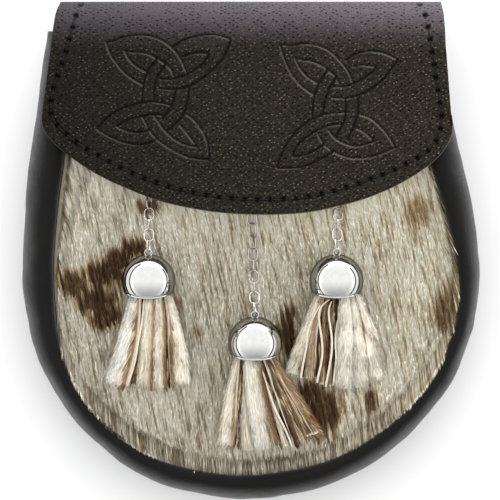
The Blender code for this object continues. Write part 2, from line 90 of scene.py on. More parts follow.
GUSSET_ROWS = [
    # x      y      roll  front  back
    (-84.6, 91.0, 11.0, 36.0, 10.0),
    (-86.6, 79.0, 12.8, 38.0, 2.6),
    (-89.0, 60.0, 14.0, 38.5, 0.0),
    (-91.7, 39.4, 14.4, 38.5, 0.0),
    (-93.9, 19.4, 14.0, 38.5, 0.0),
    (-95.0, -5.0, 13.3, 38.5, 0.0),
    (-93.5, -25.6, 12.6, 38.5, 0.0),
    (-90.0, -40.6, 11.6, 38.5, 0.0),
    (-83.4, -55.6, 10.6, 38.5, 0.0),
    (-73.4, -70.6, 10.0, 38.5, 0.0),
    (-60.8, -83.1, 10.0, 38.5, 0.0),
    (-45.8, -93.1, 10.1, 38.5, 0.0),
    (-28.0, -99.9, 10.4, 38.5, 0.0),
    (-3.0, -103.3, 10.6, 38.5, 0.0),
    (24.0, -99.9, 10.6, 38.5, 0.0),
    (42.5, -93.1, 10.5, 38.5, 0.0),
    (58.3, -83.1, 10.2, 38.5, 0.0),
    (71.7, -70.6, 9.7, 38.5, 0.0),
    (82.9, -55.6, 9.4, 38.5, 0.0),
    (90.0, -40.6, 9.0, 38.5, 0.0),
    (93.8, -25.6, 9.0, 38.5, 0.0),
    (95.0, -6.0, 10.2, 38.5, 0.0),
    (92.3, 17.0, 12.3, 38.5, 0.0),
    (88.0, 36.0, 13.8, 38.5, 0.0),
    (83.4, 57.0, 13.8, 38.5, 0.0),
    (80.4, 77.0, 12.6, 38.0, 2.6),
    (78.6, 90.0, 11.0, 36.0, 10.0),
]
FRONT_CENTRE = (0.0, -8.0)
FRONT_DOME = [
    (0.00, 35.3),
    (0.50, 35.1),
    (0.80, 34.7),
    (0.955, 34.0),
    (1.00, 32.8),
]
FLAP_EDGE = [
    # x      y
    (-86.2, 54.4),
    (-85.5, 50.2),
    (-83.3, 46.6),
    (-76.7, 40.2),
    (-63.6, 31.4),
    (-50.5, 25.2),
    (-37.3, 20.2),
    (-24.2, 17.2),
    (-11.1, 15.3),
    (5.3, 14.6),
    (21.8, 15.4),
    (34.9, 17.9),
    (48.0, 21.6),
    (61.1, 27.3),
    (73.5, 35.2),
    (80.0, 42.1),
    (82.9, 48.6),
    (82.5, 53.6),
]
FOLD_SIDES = [
    # angle  left   right
    (-90.0, -64.0, 63.0),
    (-70.0, -66.5, 65.5),
    (-40.0, -73.5, 73.0),
    (0.0, -78.5, 78.5),
    (45.0, -80.6, 79.4),
    (90.0, -82.0, 79.9),
]
CAPS = [
    # name      x      y      tilt  chain_x
    ("left", -41.9, -12.6, 18.0, -41.7),
    ("centre", 1.6, -38.0, 16.0, 0.3),
    ("right", 35.0, -12.5, 17.0, 36.9),
]
BALL_Z = {"left": 46.5, "centre": 46.6, "right": 46.5}
CHAINS = [
    # name     links start_z climb  power rolls
    ("left", 6, 38.2, 25.0, 1.35, (75, 0, 90, 0, 60, 0)),
    ("centre", 11, 38.0, 27.0, 1.9,
     (80, 5, 90, 5, 90, 0, 50, -45, 0, 90, 0)),
    ("right", 6, 38.2, 24.0, 1.35, (65, 5, 90, 0, 52, 0)),
]
TASSELS = {
    "left": [
        # share  x_left  x_right   y      z_low  z_high
        (0.00, -47.2, -36.6, -6.6, 43.0, 53.6),
        (0.10, -50.2, -33.6, -11.0, 39.4, 54.8),
        (0.20, -50.7, -33.1, -16.6, 37.2, 53.6),
        (0.32, -51.5, -32.1, -21.0, 35.9, 51.2),
        (0.50, -54.2, -29.9, -31.5, 35.7, 48.0),
        (0.72, -57.8, -26.8, -43.0, 35.5, 45.6),
        (0.92, -60.3, -25.0, -53.5, 35.3, 42.6),
        (1.00, -59.3, -27.0, -57.8, 35.4, 39.6),
    ],
    "centre": [
        (0.00, -3.7, 6.9, -32.0, 43.1, 53.7),
        (0.10, -6.7, 9.9, -36.4, 39.5, 54.9),
        (0.20, -7.2, 10.4, -42.0, 37.3, 53.8),
        (0.32, -7.8, 12.0, -47.0, 36.0, 51.2),
        (0.50, -10.0, 18.0, -57.0, 35.7, 48.0),
        (0.72, -11.6, 24.5, -68.5, 35.5, 45.4),
        (0.92, -12.6, 29.2, -78.5, 35.2, 42.4),
        (1.00, -8.0, 25.0, -82.8, 35.2, 39.6),
    ],
    "right": [
        (0.00, 29.7, 40.3, -6.5, 43.0, 53.6),
        (0.10, 26.7, 43.3, -10.9, 39.4, 54.8),
        (0.20, 26.2, 43.8, -16.5, 37.2, 53.6),
        (0.32, 25.4, 44.8, -21.0, 35.9, 51.2),
        (0.50, 22.0, 46.9, -31.5, 35.7, 48.0),
        (0.72, 17.8, 50.4, -43.0, 35.5, 45.6),
        (0.92, 15.2, 52.4, -52.0, 35.3, 42.6),
        (1.00, 18.0, 50.0, -56.6, 35.4, 39.6),
    ],
}

# Dark patches of the hide: x, y, half width, half height, strength.
SPOTS = [
    (-49.0, 2.7, 5.8, 5.2, 1.0),
    (-56.0, -2.6, 7.4, 5.6, 1.0),
    (-62.2, -8.4, 11.4, 7.0, 1.0),
    (-73.0, -12.5, 8.5, 7.0, 0.92),
    (-64.5, -18.0, 9.6, 7.8, 1.0),
    (-60.0, -25.5, 8.0, 6.4, 0.95),
    (-42.4, 20.4, 5.0, 4.6, 0.95),
    (-30.5, -20.0, 2.4, 3.2, 0.45),
    (-22.2, -31.5, 3.0, 2.6, 0.42),
    (68.4, 17.5, 5.6, 7.4, 0.55),
    (79.5, -22.5, 6.0, 12.0, 0.74),
    (14.8, -31.0, 5.2, 10.8, 0.95),
    (23.5, -56.5, 6.0, 6.5, 0.95),
    (29.6, -63.5, 10.2, 14.0, 0.95),
    (49.4, -60.4, 3.9, 6.2, 0.90),
]

# Stitch line of the flap, from the fold on the left round the free edge to
# the fold on the right, and the knots, in units of the drawing they are
# measured in: DRAW_MM is its scale at the flap.
DRAW_MM = 0.4101
STITCH_LINE = [
    # across  down
    (79.6, 2.0), (77.7, 7.3), (74.7, 16.4), (72.5, 27.1), (68.9, 39.6),
    (65.6, 52.0), (61.5, 64.8), (56.7, 78.0), (52.4, 91.2), (50.2, 104.4),
    (51.2, 115.0), (57.0, 125.6), (67.7, 135.7), (78.4, 144.0), (89.4, 150.8),
    (111.9, 163.2), (134.4, 174.3), (158.6, 183.6), (183.3, 190.7),
    (208.2, 195.7), (230.0, 198.6), (250.7, 199.8), (274.0, 199.8),
    (296.6, 198.6), (322.7, 193.8), (347.6, 187.3), (371.3, 179.1),
    (394.9, 169.4), (419.4, 157.2), (430.8, 148.0), (439.4, 134.6),
    (441.8, 117.9), (440.2, 104.1), (436.2, 79.6), (432.1, 52.8),
    (428.3, 27.6), (426.0, 15.3), (422.8, 6.9), (421.0, 2.0),
]
STITCH_PITCH = 5.25

# Outlines of the bands of each knot, one groove per row.
KNOTS = {
    "left": ((30.0, 0.0, 6.817), [
        [(518, 285), (570, 275), (620, 255), (700, 238), (800, 240), (900, 275), (960, 320), (1020, 390), (1068, 492)],
        [(645, 345), (700, 355), (780, 360), (850, 390), (950, 460), (982, 520)],
        [(518, 285), (560, 390), (640, 490), (700, 537), (770, 578)],
        [(645, 345), (680, 410), (730, 455), (795, 490)],
        [(970, 320), (1050, 270), (1150, 240), (1260, 235), (1370, 268)],
        [(1040, 385), (1120, 360), (1222, 365)],
        [(1370, 268), (1330, 370), (1260, 460), (1150, 550), (1050, 600), (960, 608), (880, 605)],
        [(1222, 365), (1180, 430), (1080, 500), (990, 535), (890, 540)],
        [(870, 395), (800, 490), (770, 600), (762, 695)],
        [(870, 395), (930, 430)],
        [(930, 430), (870, 520), (845, 610), (840, 690)],
        [(770, 800), (830, 910), (920, 990), (1050, 1060), (1140, 1080), (1220, 1088)],
        [(850, 790), (920, 890), (1020, 970), (1140, 1005)],
        [(992, 620), (975, 700), (950, 750), (900, 812)],
        [(1085, 600), (1070, 700), (1040, 790), (940, 888)],
        [(455, 880), (540, 790), (650, 730), (770, 700), (860, 695), (972, 722)],
        [(590, 860), (680, 810), (780, 790), (850, 778), (925, 795)],
        [(455, 880), (540, 930), (640, 970), (760, 985), (850, 960)],
        [(590, 860), (640, 885), (720, 902), (805, 888)],
        [(1068, 780), (1130, 830), (1190, 920), (1215, 1000), (1222, 1088)],
        [(1020, 850), (1080, 920), (1140, 1005)],
    ]),
    "right": ((240.0, 0.0, 6.533), [
        [(262, 292), (330, 296), (400, 285), (470, 288), (540, 308), (600, 345), (660, 405), (705, 465), (740, 540)],
        [(360, 375), (400, 390), (450, 395), (510, 415), (570, 450), (620, 495), (652, 552)],
        [(262, 292), (290, 380), (330, 470), (390, 550), (485, 622)],
        [(360, 375), (390, 440), (440, 500), (515, 548)],
        [(690, 395), (760, 350), (840, 335), (930, 345), (1030, 388)],
        [(740, 435), (800, 425), (895, 437)],
        [(1030, 388), (975, 470), (900, 550), (800, 610), (700, 640), (600, 637)],
        [(895, 437), (850, 480), (780, 525), (700, 562), (610, 568)],
        [(572, 458), (510, 560), (480, 660), (475, 780)],
        [(572, 458), (630, 500)],
        [(630, 500), (580, 590), (552, 670), (546, 742)],
        [(690, 650), (690, 750), (665, 830), (625, 888)],
        [(770, 640), (770, 740), (745, 820), (700, 915)],
        [(238, 1098), (280, 990), (340, 890), (420, 810), (520, 757), (600, 738), (690, 735)],
        [(342, 1025), (370, 960), (430, 900), (510, 847), (590, 817), (660, 812)],
        [(238, 1098), (330, 1098), (430, 1082), (540, 1032), (610, 990)],
        [(342, 1025), (420, 1012), (500, 977), (550, 945)],
        [(508, 868), (550, 945), (630, 1000), (720, 1030), (830, 1028), (920, 1002), (1015, 965)],
        [(578, 848), (620, 900), (690, 940), (770, 955), (875, 925)],
        [(775, 745), (850, 772), (920, 830), (970, 890), (1015, 965)],
        [(765, 838), (820, 868), (875, 925)],
    ]),
}
GROOVE_DEPTH = 0.50
GROOVE_HALF = 0.78

# Cut strips of each tassel.  A strip is a list of places from the cap to its
# free end: across, down, width, in the units of the drawing; then its tone
# (0 white, 1 cream, 2 tan, 3 brown, 4 near black), how far it stands over or
# under the bundle's form in mm, the roll of its section in degrees (positive
# lifts its right side), how much its hair splays, and its hair's length.
# Dark strips sunk under the others stand in for the shade in the gaps between strips, and a tone that turns tan or
# brown towards one side of a strip is partly painted shade on its curled-down flank and partly the hide's own colour.
STRIPS = {
    "left": [
        # places                                                     tone over roll splay hair
        ([(137.5, 292, 10), (133.0, 320, 17), (127.0, 350, 20), (117.0, 384, 21)], (0.0, 2.1, 0.42), 0.2, 8, -0.34, 8.0),
        ([(144.5, 296, 1.2), (141.0, 330, 2.2), (136.0, 356, 2.2), (126.8, 386, 2.4)], -1.0, 0.2, 62, 0.0, 0.0),
        ([(146.0, 292, 2.6), (143.6, 330, 3.0), (139.0, 356, 3.8), (133.2, 385, 5.0)], 2.6, -1.7, 10, 0.0, 4.0),
        ([(150.5, 291, 8), (149.0, 320, 11), (147.0, 352, 13), (144.5, 386, 14)], (0.75, 1.9, 0.60), 0.4, 8, -0.03, 7.0),
        ([(158.5, 291, 8), (159.5, 320, 10), (159.0, 352, 11), (159.5, 387, 12)], (0.6, 2.0, 0.55), 0.4, -6, 0.02, 7.0),
        ([(163.5, 292, 2), (165.5, 330, 3.4), (167.5, 386, 3.4)], 3.5, -1.5, 0, 0.0, 4.0),
        ([(166.5, 292, 8), (172.5, 320, 13), (176.5, 350, 17), (179.0, 384, 17)], (1.7, 0.55, -0.55), 0.1, 14, 0.22, 8.0),
    ],
    "centre": [
        ([(238.5, 354, 6), (234.5, 380, 10), (230.5, 410, 13), (227.5, 445, 14)], (0.6, 1.6, 0.55), 0.0, -10, -0.20, 8.5),
        ([(242.5, 356, 3), (240.5, 385, 4.0), (238.0, 415, 4.6), (236.0, 447, 5)], 3.0, -0.8, 20, 0.05, 4.0),
        ([(243.5, 356, 3), (244.5, 392, 6), (245.5, 420, 9), (249.0, 450, 12)], 0.8, -1.3, 6, -0.06, 7.5),
        ([(250.0, 354, 11), (252.5, 380, 14), (257.0, 412, 15), (263.5, 449, 14)], (0.35, 1.3, 0.75), 0.5, -6, 0.04, 9.0),
        ([(259.0, 356, 4), (262.5, 385, 5), (268.0, 415, 7), (275.5, 447, 10)], (1.0, 2.5, 0.0), -0.4, 22, 0.10, 6.0),
        ([(262.0, 370, 2.0), (270.0, 396, 3), (277.5, 420, 4), (285.5, 446, 6)], 1.2, -0.4, 0, 0.02, 4.0),
        ([(262.0, 372, 1.0), (273.5, 403, 2.0), (284.0, 428, 2.2), (293.0, 447, 2.4)], -1.0, 0.4, -60, 0.0, 0.0),
        ([(266.0, 356, 8), (279.0, 384, 15), (292.5, 412, 22), (304.5, 438, 25)], 2.85, 0.2, -8, 0.10, 9.5),
        ([(271.0, 356, 5), (284.0, 380, 7), (298.5, 404, 7), (316.0, 434, 6.5)], (2.6, 1.9, 0.0), 0.7, 12, 0.24, 8.5),
    ],
    "right": [
        ([(321.0, 291, 6), (311.0, 320, 10), (303.0, 345, 12), (294.0, 374, 12)], 0.8, 0.0, -12, -0.22, 8.0),
        ([(319.5, 305, 1.4), (309.0, 330, 2.2), (305.0, 352, 2.2), (301.5, 378, 2.6)], -1.0, 0.7, 55, 0.0, 0.0),
        ([(323.0, 292, 5), (315.5, 322, 7), (312.0, 348, 8), (309.5, 378, 9)], 1.7, 0.0, 22, -0.10, 5.0),
        ([(328.5, 299, 1.2), (319.6, 312, 2.2), (321.6, 342, 2.2), (321.2, 362, 2.2), (317.5, 383, 2.6)], -1.0, 0.6, 60, 0.0, 0.0),
        ([(329.0, 294, 4), (325.5, 320, 5.5), (325.5, 350, 5.5), (322.5, 384, 6)], (1.9, 3.1, 0.0), -0.6, 10, 0.0, 4.0),
        ([(331.0, 301, 1.2), (329.0, 313, 2.0), (331.4, 340, 2.2), (329.4, 366, 2.2), (326.5, 387, 2.6)], -1.0, 0.6, -50, 0.0, 0.0),
        ([(335.0, 294, 3), (333.6, 322, 4), (332.6, 350, 4), (331.5, 386, 5)], (1.6, 3.6, -0.1), -1.4, 0, 0.0, 3.0),
        ([(337.0, 320, 1.2), (335.6, 342, 1.8), (335.2, 362, 1.8), (334.2, 386, 2.2)], -1.0, 0.2, -60, 0.0, 0.0),
        ([(344.0, 291, 10), (345.0, 320, 14), (345.5, 350, 16), (344.5, 388, 17)], 0.35, 0.5, 4, 0.0, 9.0),
        ([(350.5, 292, 6), (355.5, 322, 9), (358.0, 350, 12), (360.5, 387, 13)], 0.55, 0.5, 0, 0.05, 9.0),
        ([(353.5, 294, 3), (360.5, 325, 4), (364.0, 350, 5), (367.5, 384, 5)], 2.2, -0.9, 0, 0.0, 4.0),
        ([(355.0, 292, 6), (365.0, 320, 9), (370.0, 345, 12), (374.5, 377, 12)], 0.5, 0.0, 14, 0.18, 9.0),
    ],
}


# ------------------------------------------------------------------ helpers
def catmull(rows, per_span):
    """Smooth curve through rows of numbers, all columns together."""
    count = len(rows)
    out = []
    for i in range(count - 1):
        p0 = rows[max(i - 1, 0)]
        p1 = rows[i]
        p2 = rows[i + 1]
        p3 = rows[min(i + 2, count - 1)]
        for k in range(per_span):
            t = k / per_span
            out.append(tuple(
                0.5 * (2 * b + (c - a) * t + (2 * a - 5 * b + 4 * c - d) * t * t
                       + (3 * b - a - 3 * c + d) * t ** 3)
                for a, b, c, d in zip(p0, p1, p2, p3)))
    out.append(tuple(float(v) for v in rows[-1]))
    return out


def resample(rows, count):
    """Rows at equal steps of length in their first two columns."""
    rows = np.asarray(rows, float)
    step = np.hypot(*(np.diff(rows[:, :2], axis=0).T))
    length = np.concatenate([[0.0], np.cumsum(step)])
    target = np.linspace(0.0, length[-1], count)
    return np.stack([np.interp(target, length, rows[:, c])
                     for c in range(rows.shape[1])], axis=1)


def path_length(rows):
    rows = np.asarray(rows, float)
    return float(np.hypot(*(np.diff(rows[:, :2], axis=0).T)).sum())


def smoothstep(t):
    t = np.clip(t, 0.0, 1.0)
    return t * t * (3 - 2 * t)


def inward_normals(rows):
    """Unit normals of a left-to-right path, pointing into the pouch."""
    p = rows[:, :2]
    d = np.empty_like(p)
    d[1:-1] = p[2:] - p[:-2]
    d[0] = p[1] - p[0]
    d[-1] = p[-1] - p[-2]
    d /= np.linalg.norm(d, axis=1)[:, None]
    return np.stack([-d[:, 1], d[:, 0]], axis=1)


def segment_distance(points, line, chunk=20000):
    """Distance of each point from an open polyline, nearest segment and the
    place along it."""
    a, b = line[:-1], line[1:]
    ab = b - a
    size = np.maximum((ab * ab).sum(1), 1e-12)
    best = np.empty(len(points))
    where = np.empty(len(points), int)
    along = np.empty(len(points))
    for s in range(0, len(points), chunk):
        p = points[s:s + chunk, None, :]
        t = np.clip(((p - a) * ab).sum(2) / size, 0.0, 1.0)
        d = np.linalg.norm(p - (a + ab * t[..., None]), axis=2)
        k = d.argmin(1)
        rows = np.arange(len(k))
        best[s:s + chunk] = d[rows, k]
        where[s:s + chunk] = k
        along[s:s + chunk] = t[rows, k]
    return best, where, along


def inside_polygon(points, ring):
    inside = np.zeros(len(points), bool)
    x, y = points[:, 0], points[:, 1]
    for (x0, y0), (x1, y1) in zip(ring, np.roll(ring, -1, axis=0)):
        if y0 == y1:
            continue
        hit = ((y0 > y) != (y1 > y)) & (x < (x1 - x0) * (y - y0) / (y1 - y0) + x0)
        inside ^= hit
    return inside


def value_noise(x, y, seed):
    """Smooth noise from 0 to 1 on a lattice of unit cells."""
    def lattice(i, j):
        n = (i * 374761393 + j * 668265263 + seed * 2147483647) & 0xFFFFFFFF
        n = ((n ^ (n >> 13)) * 1274126177) & 0xFFFFFFFF
        return ((n ^ (n >> 16)) & 0xFFFF) / 65535.0
    xi, yi = np.floor(x).astype(np.int64), np.floor(y).astype(np.int64)
    fx, fy = smoothstep(x - xi), smoothstep(y - yi)
    a, b = lattice(xi, yi), lattice(xi + 1, yi)
    c, d = lattice(xi, yi + 1), lattice(xi + 1, yi + 1)
    return (a * (1 - fx) + b * fx) * (1 - fy) + (c * (1 - fx) + d * fx) * fy


def new_mesh(name, verts, groups, smooth=True):
    """Mesh from millimetre points and arrays of faces."""
    mesh = bpy.data.meshes.new(name)
    verts = np.ascontiguousarray(np.asarray(verts, float) * MM, np.float32)
    mesh.vertices.add(len(verts))
    mesh.vertices.foreach_set("co", verts.ravel())
    loops = np.concatenate([np.asarray(g, np.int32).ravel() for g in groups])
    sizes = np.concatenate([np.full(len(g), np.asarray(g).shape[1], np.int32)
                            for g in groups])
    mesh.loops.add(len(loops))
    mesh.loops.foreach_set("vertex_index", loops)
    mesh.polygons.add(len(sizes))
    starts = np.concatenate([[0], np.cumsum(sizes)[:-1]]).astype(np.int32)
    mesh.polygons.foreach_set("loop_start", starts)
    mesh.update(calc_edges=True)
    if smooth:
        mesh.shade_smooth()
    return mesh


def point_colours(mesh, name, values):
    data = mesh.attributes.new(name, "FLOAT_COLOR", "POINT").data
    data.foreach_set("color", np.ascontiguousarray(values, np.float32).ravel())


def add_piece(name, mesh, mat, slot, *nodes):
    obj = bpy.data.objects.new(name, mesh)
    mesh.materials.clear()
    mesh.materials.append(mat)
    scene.collection.objects.link(obj)
    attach(obj, "root")
    if nodes:
        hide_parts(*nodes)
    return obj


def grid_faces(rows, cols, closed=False):
    """Quads between rows of points that are stored row after row."""
    r = np.arange(rows - 1)[:, None]
    c = np.arange(cols if closed else cols - 1)[None, :]
    n = (c + 1) % cols
    return np.stack([r * cols + c, r * cols + n,
                     (r + 1) * cols + n, (r + 1) * cols + c],
                    axis=-1).reshape(-1, 4)


def apply_modifiers(obj):
    graph = bpy.context.evaluated_depsgraph_get()
    mesh = bpy.data.meshes.new_from_object(obj.evaluated_get(graph))
    obj.modifiers.clear()
    old = obj.data
    obj.data = mesh
    bpy.data.meshes.remove(old)


# ---------------------------------------------------------------- materials
class Nodes:
    """Short way to write a node material."""

    def __init__(self, name):
        self.mat = bpy.data.materials.new(name)
        self.mat.use_nodes = True
        self.tree = self.mat.node_tree
        self.shader = self.tree.nodes["Principled BSDF"]

    def add(self, kind, **props):
        node = self.tree.nodes.new(kind)
        for key, value in props.items():
            setattr(node, key, value)
        return node

    def link(self, a, b):
        self.tree.links.new(a, b)

    def put(self, socket, value):
        if isinstance(value, bpy.types.NodeSocket):
            self.link(value, socket)
        else:
            socket.default_value = value

    def coords(self, scale=(1.0, 1.0, 1.0), rotation=(0.0, 0.0, 0.0)):
        tex = self.add("ShaderNodeTexCoord")
        mapping = self.add("ShaderNodeMapping")
        mapping.inputs["Scale"].default_value = scale
        mapping.inputs["Rotation"].default_value = rotation
        self.link(tex.outputs["Object"], mapping.inputs["Vector"])
        return mapping.outputs["Vector"]

    def mapping(self, vector, scale, turn, shift=(0.0, 0.0, 0.0)):
        node = self.add("ShaderNodeMapping")
        node.inputs["Scale"].default_value = scale
        node.inputs["Rotation"].default_value = (0.0, 0.0, turn)
        node.inputs["Location"].default_value = shift
        self.link(vector, node.inputs["Vector"])
        return node.outputs["Vector"]

    def noise(self, vector, size_mm, detail=3.0, rough=0.55, distortion=0.0):
        node = self.add("ShaderNodeTexNoise")
        self.link(vector, node.inputs["Vector"])
        node.inputs["Scale"].default_value = 1.0 / (size_mm * MM)
        node.inputs["Detail"].default_value = detail
        node.inputs["Roughness"].default_value = rough
        node.inputs["Distortion"].default_value = distortion
        return node.outputs["Fac"]

    def voronoi(self, vector, size_mm, feature="F1", randomness=1.0, flat=False):
        node = self.add("ShaderNodeTexVoronoi", feature=feature,
                        voronoi_dimensions="2D" if flat else "3D")
        self.link(vector, node.inputs["Vector"])
        node.inputs["Scale"].default_value = 1.0 / (size_mm * MM)
        node.inputs["Randomness"].default_value = randomness
        return node

    def ramp(self, fac, stops):
        """Grey or coloured ramp from (position, value or colour) stops."""
        node = self.add("ShaderNodeValToRGB")
        elements = node.color_ramp.elements
        while len(elements) < len(stops):
            elements.new(0.5)
        for element, (position, colour) in zip(elements, stops):
            element.position = position
            if not hasattr(colour, "__len__"):
                colour = (colour, colour, colour)
            element.color = (*colour, 1.0)
        self.link(fac, node.inputs["Fac"])
        return node.outputs["Color"]

    def mix(self, fac, a, b, mode="MIX"):
        node = self.add("ShaderNodeMix", data_type="RGBA", blend_type=mode)
        self.put(node.inputs["Factor"], fac)
        for socket, value in ((node.inputs[6], a), (node.inputs[7], b)):
            if not isinstance(value, bpy.types.NodeSocket) and len(value) == 3:
                value = (*value, 1.0)
            self.put(socket, value)
        return node.outputs[2]

    def math(self, operation, a, b=0.0, clamp=False):
        node = self.add("ShaderNodeMath", operation=operation, use_clamp=clamp)
        self.put(node.inputs[0], a)
        self.put(node.inputs[1], b)
        return node.outputs[0]

    def spread(self, value, low, high, to_low, to_high):
        node = self.add("ShaderNodeMapRange")
        self.put(node.inputs["Value"], value)
        node.inputs["From Min"].default_value = low
        node.inputs["From Max"].default_value = high
        node.inputs["To Min"].default_value = to_low
        node.inputs["To Max"].default_value = to_high
        node.clamp = True
        return node.outputs["Result"]

    def attribute(self, name):
        node = self.add("ShaderNodeAttribute", attribute_name=name)
        split = self.add("ShaderNodeSeparateColor")
        self.link(node.outputs["Color"], split.inputs["Color"])
        return (split.outputs["Red"], split.outputs["Green"],
                split.outputs["Blue"], node.outputs["Alpha"])

    def bump(self, height, distance_mm, strength=1.0, normal=None):
        node = self.add("ShaderNodeBump")
        self.link(height, node.inputs["Height"])
        node.inputs["Distance"].default_value = distance_mm * MM
        node.inputs["Strength"].default_value = strength
        if normal is not None:
            self.link(normal, node.inputs["Normal"])
        return node.outputs["Normal"]

    def finish(self, colour=None, roughness=None, normal=None, **values):
        if colour is not None:
            self.put(self.shader.inputs["Base Color"],
                     colour if isinstance(colour, bpy.types.NodeSocket)
                     else (*colour, 1.0))
        if roughness is not None:
            self.put(self.shader.inputs["Roughness"], roughness)
        if normal is not None:
            self.link(normal, self.shader.inputs["Normal"])
        for key, value in values.items():
            self.shader.inputs[key.replace("_", " ")].default_value = value
        return self.mat


def flap_leather():
    """Printed pigskin grain: a lattice of small pits with painted highlights (pale glint dots) beside them on one side,
    fine slanted lines, grooves and stitch holes painted dark as shade, painted highlights on the groove walls that face
    up and to the right, a paler purple-grey painted sheen over the top of the fold, and painted shade darkening the
    flap towards its left.  The pattern follows the hide, laid out flat."""
    n = Nodes("flap_leather")
    place = n.coords()
    across, along, lit, right = n.attribute("lay")
    join = n.add("ShaderNodeCombineXYZ")
    n.link(across, join.inputs[0])
    n.link(along, join.inputs[1])
    lay = join.outputs["Vector"]
    lattice = n.mapping(lay, (0.84, 1.22, 1.0), math.radians(45))
    slant = n.mapping(n.mapping(lay, (1.0, 1.0, 1.0), math.radians(-41)),
                      (0.16, 1.0, 1.0), 0.0)
    tone = n.noise(place, 26.0, 2.0)
    base = n.mix(tone, (0.0062, 0.0047, 0.0030), (0.0098, 0.0076, 0.0050))
    lines = n.noise(slant, 0.50, 1.5, 0.5)
    base = n.mix(n.spread(lines, 0.44, 0.66, 0.0, 0.80), base,
                 (0.036, 0.030, 0.021))
    fine = n.noise(place, 0.50, 4.0, 0.65)
    base = n.mix(n.spread(fine, 0.46, 0.70, 0.0, 0.60), base,
                 (0.046, 0.039, 0.028))
    pores = n.voronoi(lattice, 1.95, randomness=0.42, flat=True)
    some = n.add("ShaderNodeSeparateColor")
    n.link(pores.outputs["Color"], some.inputs["Color"])
    pit = n.math("MULTIPLY", n.spread(pores.outputs["Distance"], 0.14, 0.28, 1.0, 0.0),
                 n.spread(some.outputs["Green"], 0.25, 0.75, 0.10, 1.0))
    # painted highlight: pale glint dots beside the pits, on one side, painted into the colour
    glint_cells = n.voronoi(n.mapping(lattice, (1.0, 1.0, 1.0), 0.0,
                                 (0.62 * MM, 0.10 * MM, 0.0)),
                       1.75, randomness=0.85, flat=True)
    glint_pick = n.add("ShaderNodeSeparateColor")
    n.link(glint_cells.outputs["Color"], glint_pick.inputs["Color"])
    glint_dot = n.spread(glint_cells.outputs["Distance"], 0.07, 0.21, 1.0, 0.0)
    glint_dot = n.math("MULTIPLY", glint_dot,
                 n.spread(glint_pick.outputs["Red"], 0.20, 1.0, 0.0, 1.0), True)
    base = n.mix(n.math("MULTIPLY", glint_dot, 0.72), base, (0.235, 0.210, 0.165))
    groove_shade, hole_shade, edge, fold_highlight = n.attribute("relief")
    # painted highlight: the top of the fold is painted paler purple-grey as its sheen of light from above
    fold = n.mix(n.spread(fine, 0.35, 0.7, 0.0, 1.0), (0.060, 0.051, 0.060),
                 (0.148, 0.130, 0.148))
    base = n.mix(fold_highlight, base, fold)
    base = n.mix(n.math("MULTIPLY", pit, 0.95, True), base, (0.0012, 0.0010, 0.0008))
    # painted shade: the grooves are painted near black, less so on the walls that carry the painted highlight
    base = n.mix(n.math("MULTIPLY", groove_shade, 0.90), base,
                 (0.0020, 0.0017, 0.0014))
    # painted highlight on the groove walls that face up and to the right
    base = n.mix(n.math("MULTIPLY", lit, 0.80), base, (0.150, 0.135, 0.105))
    # painted shade: the stitch holes, shallow dimples, are painted near black as the shade inside them
    base = n.mix(hole_shade, base, (0.0008, 0.0008, 0.0008))
    raw = n.mix(n.noise(place, 1.6, 3.0), (0.20, 0.17, 0.13), (0.42, 0.37, 0.30))
    base = n.mix(edge, base, raw)
    # painted shade: the colour is darkened towards the flap's left and kept full on its right, as if lit from the right
    side = n.ramp(right, [(0.0, 0.48), (0.5, 0.76), (1.0, 1.0)])
    base = n.mix(1.0, base, side, "MULTIPLY")
    pebble = n.voronoi(lattice, 0.95, feature="SMOOTH_F1", randomness=0.9, flat=True)
    height = n.math("SUBTRACT", n.math("MULTIPLY", pebble.outputs["Distance"], -0.5),
                    n.math("MULTIPLY", pit, 1.0))
    height = n.math("ADD", height, n.math("MULTIPLY", fine, 0.5))
    height = n.math("ADD", height, n.math("MULTIPLY", lines, 0.7))
    normal = n.bump(height, 0.26, 0.95)
    rough = n.spread(fine, 0.3, 0.7, 0.56, 0.70)
    return n.finish(base, rough, normal, Specular_IOR_Level=0.08)


def plain_leather(name, low, high, grain_mm, spec, rough_low, rough_high,
                  bump_mm=0.10, sheen=0.0):
    """Smooth full grain with fine wrinkles."""
    n = Nodes(name)
    place = n.coords()
    tone = n.noise(place, 18.0, 3.0)
    base = n.mix(tone, low, high)
    cells = n.voronoi(place, grain_mm, feature="DISTANCE_TO_EDGE")
    crack = n.spread(cells.outputs["Distance"], 0.0, 0.10, 1.0, 0.0)
    base = n.mix(n.math("MULTIPLY", crack, 0.55), base,
                 tuple(0.35 * v for v in low))
    fine = n.noise(place, 0.45, 4.0, 0.6)
    base = n.mix(n.spread(fine, 0.44, 0.68, 0.0, 0.70), base,
                 tuple(1.7 * v for v in high))
    height = n.math("SUBTRACT", n.math("MULTIPLY", fine, 0.6),
                    n.math("MULTIPLY", crack, 0.7))
    crease = n.noise(n.coords((1.0, 0.45, 1.0)), 3.2, 5.0, 0.62, 0.8)
    height = n.math("ADD", height, n.math("MULTIPLY", crease, 0.9))
    normal = n.bump(height, bump_mm, 0.8)
    rough = n.spread(fine, 0.3, 0.7, rough_low, rough_high)
    return n.finish(base, rough, normal, Specular_IOR_Level=spec,
                    Sheen_Weight=sheen, Sheen_Roughness=0.32,
                    Sheen_Tint=(0.96, 0.97, 1.0, 1.0))


